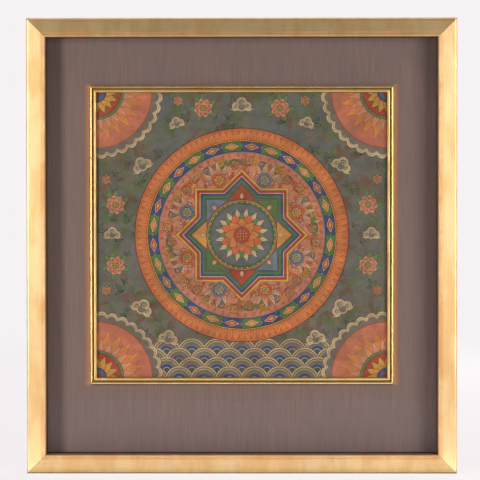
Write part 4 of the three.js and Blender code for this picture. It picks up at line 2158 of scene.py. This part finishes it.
@dataclass
class Studio:
    """A pale floor, soft lights and the camera at the picture's angle.

    Two tall lights stand left and right, each between two angles off the glass's normal in degrees.
    A weaker one hangs overhead, and one behind shows the board.
    """

    eye: Vector = Vector((0.017, -2.7225, 0.462))
    pitch: float = math.radians(0.837)
    yaw: float = math.radians(-0.413)
    roll: float = math.radians(0.052)
    lens: float = 135.4
    shift: float = -0.10
    table_front: float = 0.83
    floor_reach: float = 2.6
    light_distance: float = 2.0
    light_spans: tuple[Point, Point] = ((39.0, 51.0), (33.0, 58.0))
    light_height: float = 1.4
    light_middle: float = 0.45
    power: float = 28.0
    fill: float = 0.016
    top_power: float = 12.0
    back_power: float = 30.0
    broad: Point = (1.8, 1.2)
    backdrop: str = "F6F2F4"

    def build(self) -> None:
        """Sets the stage."""
        self.camera()
        self.floor()
        for sign, (near, far) in zip((-1, 1), self.light_spans):
            angle, width = math.radians(near + far) / 2, math.radians(far - near)
            side, out = self.light_distance * math.sin(angle), self.light_distance * math.cos(angle)
            size = (2 * self.light_distance * math.tan(width / 2), self.light_height)
            self.lamp("softbox", self.power, Vector((sign * side, -out, self.light_middle)), size)
        self.lamp("overhead", self.top_power, Vector((0, -0.6, 2.4)), self.broad)
        self.lamp("backlight", self.back_power, Vector((0.9, 1.9, 1.3)), self.broad)
        self.world()
        bpy.context.scene.view_settings.view_transform = "Standard"

    def camera(self) -> None:
        """The camera, a little above the middle and almost square to the glass."""
        data = bpy.data.cameras.new("camera")
        data.lens = self.lens
        data.shift_y = self.shift
        data.clip_end = 100
        camera = bpy.data.objects.new("camera", data)
        bpy.context.scene.collection.objects.link(camera)
        turn = Matrix.Rotation(-self.yaw, 4, "Z") @ Matrix.Rotation(math.pi / 2 - self.pitch, 4, "X")
        camera.matrix_world = Matrix.Translation(self.eye) @ turn @ Matrix.Rotation(-self.roll, 4, "Z")
        bpy.context.scene.camera = camera

    def floor(self) -> None:
        """A white table top, and a spread beyond its front edge that the glass doesn't mirror."""
        paper = StudioPaper().material()
        reach, front = self.floor_reach, -self.table_front
        near = [(-reach, front, 0), (reach, front, 0), (reach, reach, 0), (-reach, reach, 0)]
        beyond = [(-reach, -reach, 0), (reach, -reach, 0), (reach, front, 0), (-reach, front, 0)]
        for name, corners in (("table_top", near), ("floor_beyond", beyond)):
            plane = mesh_piece(name, np.array(corners, float), [(0, 1, 2, 3)])
            plane.data.materials.append(paper)
            plane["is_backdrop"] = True
            if name == "floor_beyond":
                plane.visible_glossy = False
                plane.visible_diffuse = False

    def lamp(self, name: str, power: float, place: Vector, size: Point) -> None:
        """One soft rectangular light, aimed at the frame.

        Args:
            name: Its name.
            power: In watts.
            place: Its middle.
            size: Its width and height.
        """
        data = bpy.data.lights.new(name, "AREA")
        data.shape = "RECTANGLE"
        data.size, data.size_y = size
        data.energy = power
        lamp = bpy.data.objects.new(name, data)
        bpy.context.scene.collection.objects.link(lamp)
        lamp.location = place
        aim = Vector((0, 0, self.light_middle)) - place
        lamp.rotation_euler = aim.to_track_quat("-Z", "Y").to_euler()

    def world(self) -> None:
        """A dim room that fills the shadows, with a pale backdrop where the camera looks."""
        world = bpy.data.worlds.new("studio")
        world.use_nodes = True
        tree = world.node_tree
        tree.nodes.clear()
        room = add(tree, "ShaderNodeBackground", {"Color": linear("FFFFFF"), "Strength": self.fill})
        paper = add(tree, "ShaderNodeBackground", {"Color": linear(self.backdrop), "Strength": 1.0})
        seen = add(tree, "ShaderNodeLightPath").outputs["Is Camera Ray"]
        mix = add(tree, "ShaderNodeMixShader", {0: seen, 1: room, 2: paper})
        add(tree, "ShaderNodeOutputWorld", {"Surface": mix})
        bpy.context.scene.world = world


def rail_gilding(section: Sequence[Point], moulding: RailMoulding) -> Gilding:
    """The outer frame's gilding, with its wear placed on the section's own features.

    Args:
        section: The section's outline.
        moulding: The sizes it came from.

    Returns:
        The finish.
    """
    far = lengths(section)
    sight = far[3]
    bead_start = far[4]
    bead_end = far[4 + moulding.arc_steps]
    face_start = bead_end + moulding.quirk_width + 1.5 * MM
    rounding = far[-2] - moulding.rounding * math.pi / 2
    return Gilding(
        name="water_gilding",
        worn=(
            ((bead_start + bead_end) / 2, (bead_end - bead_start) / 2, 0.5),
            (face_start, 1.6 * MM, 0.4),
            (rounding + 4.2 * MM, 0.9 * MM, 0.5),
            (far[-2] - 0.5 * MM, 1.5 * MM, 0.6),
        ),
        tones=((sight, bead_start - 0.5 * MM, 0.85),),
        side_from=far[-2] + 1 * MM,
        polished=((rounding + 0.2 * MM, rounding + 3.2 * MM, 0.4),),
    )


def slip_gilding(section: Sequence[Point], moulding: SlipMoulding) -> Gilding:
    """The slip's brighter gilding, toned brown down its groove and on its inner wall.

    The groove's dark toning is partly painted shade in the hollow.

    Args:
        section: The section's outline.
        moulding: The sizes it came from.

    Returns:
        The finish.
    """
    far = lengths(section)
    inner_start = far[4]
    inner_end = far[4 + moulding.arc_steps]
    outer_start = far[7 + moulding.arc_steps]
    outer_end = far[7 + 2 * moulding.arc_steps]
    return Gilding(
        name="burnished_gilding",
        gold="FFE096",
        deep_gold="FBCF7C",
        side="CA8C5C",
        side_thin="B97E50",
        toned="673D0B",
        roughness=0.25,
        spread=0.78,
        spread_turn=0.25,
        rub=0.05,
        brush=0.08,
        dents=0.0,
        worn=(((inner_start + inner_end) / 2, (inner_end - inner_start) / 2, 0.4),),
        polished=((outer_start + 0.4 * MM, outer_end, 0.4),),
        streak=0.6 * MM,
        leaf=60 * MM,
        tones=(
            (far[2], inner_start, 0.8),
            # The groove's tone: the gilder's toning, and partly painted shade in the hollow.
            (inner_end - 0.3 * MM, outer_start + 0.2 * MM, 0.9),
        ),
        side_from=outer_end + 0.3 * MM,
        side_ramp=0.6 * MM,
    )


def main() -> None:
    """Builds every sub-assembly in order and reports each piece."""
    logging.basicConfig(level=logging.INFO, format="%(name)s %(message)s")
    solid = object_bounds()
    low, high = solid
    tree = MitreTree()
    wood = BareWood().material()
    rail = RailMoulding()
    section = rail.section()
    outer = MitredFrame(
        "rail", "gilt_rail", "gilding", section, high.x - low.x, high.z - low.z,
        (high.z + low.z) / 2, rail.depth, 0.5 * MM, 3.0,
    )
    outer.build(tree, rail_gilding(section, rail).material(), wood)
    outer.dress()
    slip = SlipMoulding()
    left, bottom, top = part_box("slip_left")[0].x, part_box("slip_bottom")[0].z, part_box("slip_top")[1].z
    slip_half, slip_rise, slip_middle = -left, (top - bottom) / 2, (top + bottom) / 2
    inner = MitredFrame(
        "slip", "gilt_slip", "slip_gilding", slip.section(), 2 * slip_half, 2 * slip_rise,
        slip_middle, rail.depth, 0.0, 11.0, steps=12,
    )
    inner.build(tree, slip_gilding(inner.section, slip).material(), wood)
    inner.dress()
    fabric = MountFabric()
    fabric.build(WovenSilk(slip_half, slip_rise, slip_middle))
    fabric.dress()
    cloth = PaintedCloth()
    cloth.build(PaintedCotton())
    cloth.dress()
    CarriedOver().dress()
    Studio().build()


if __name__ == "__main__":
    main()
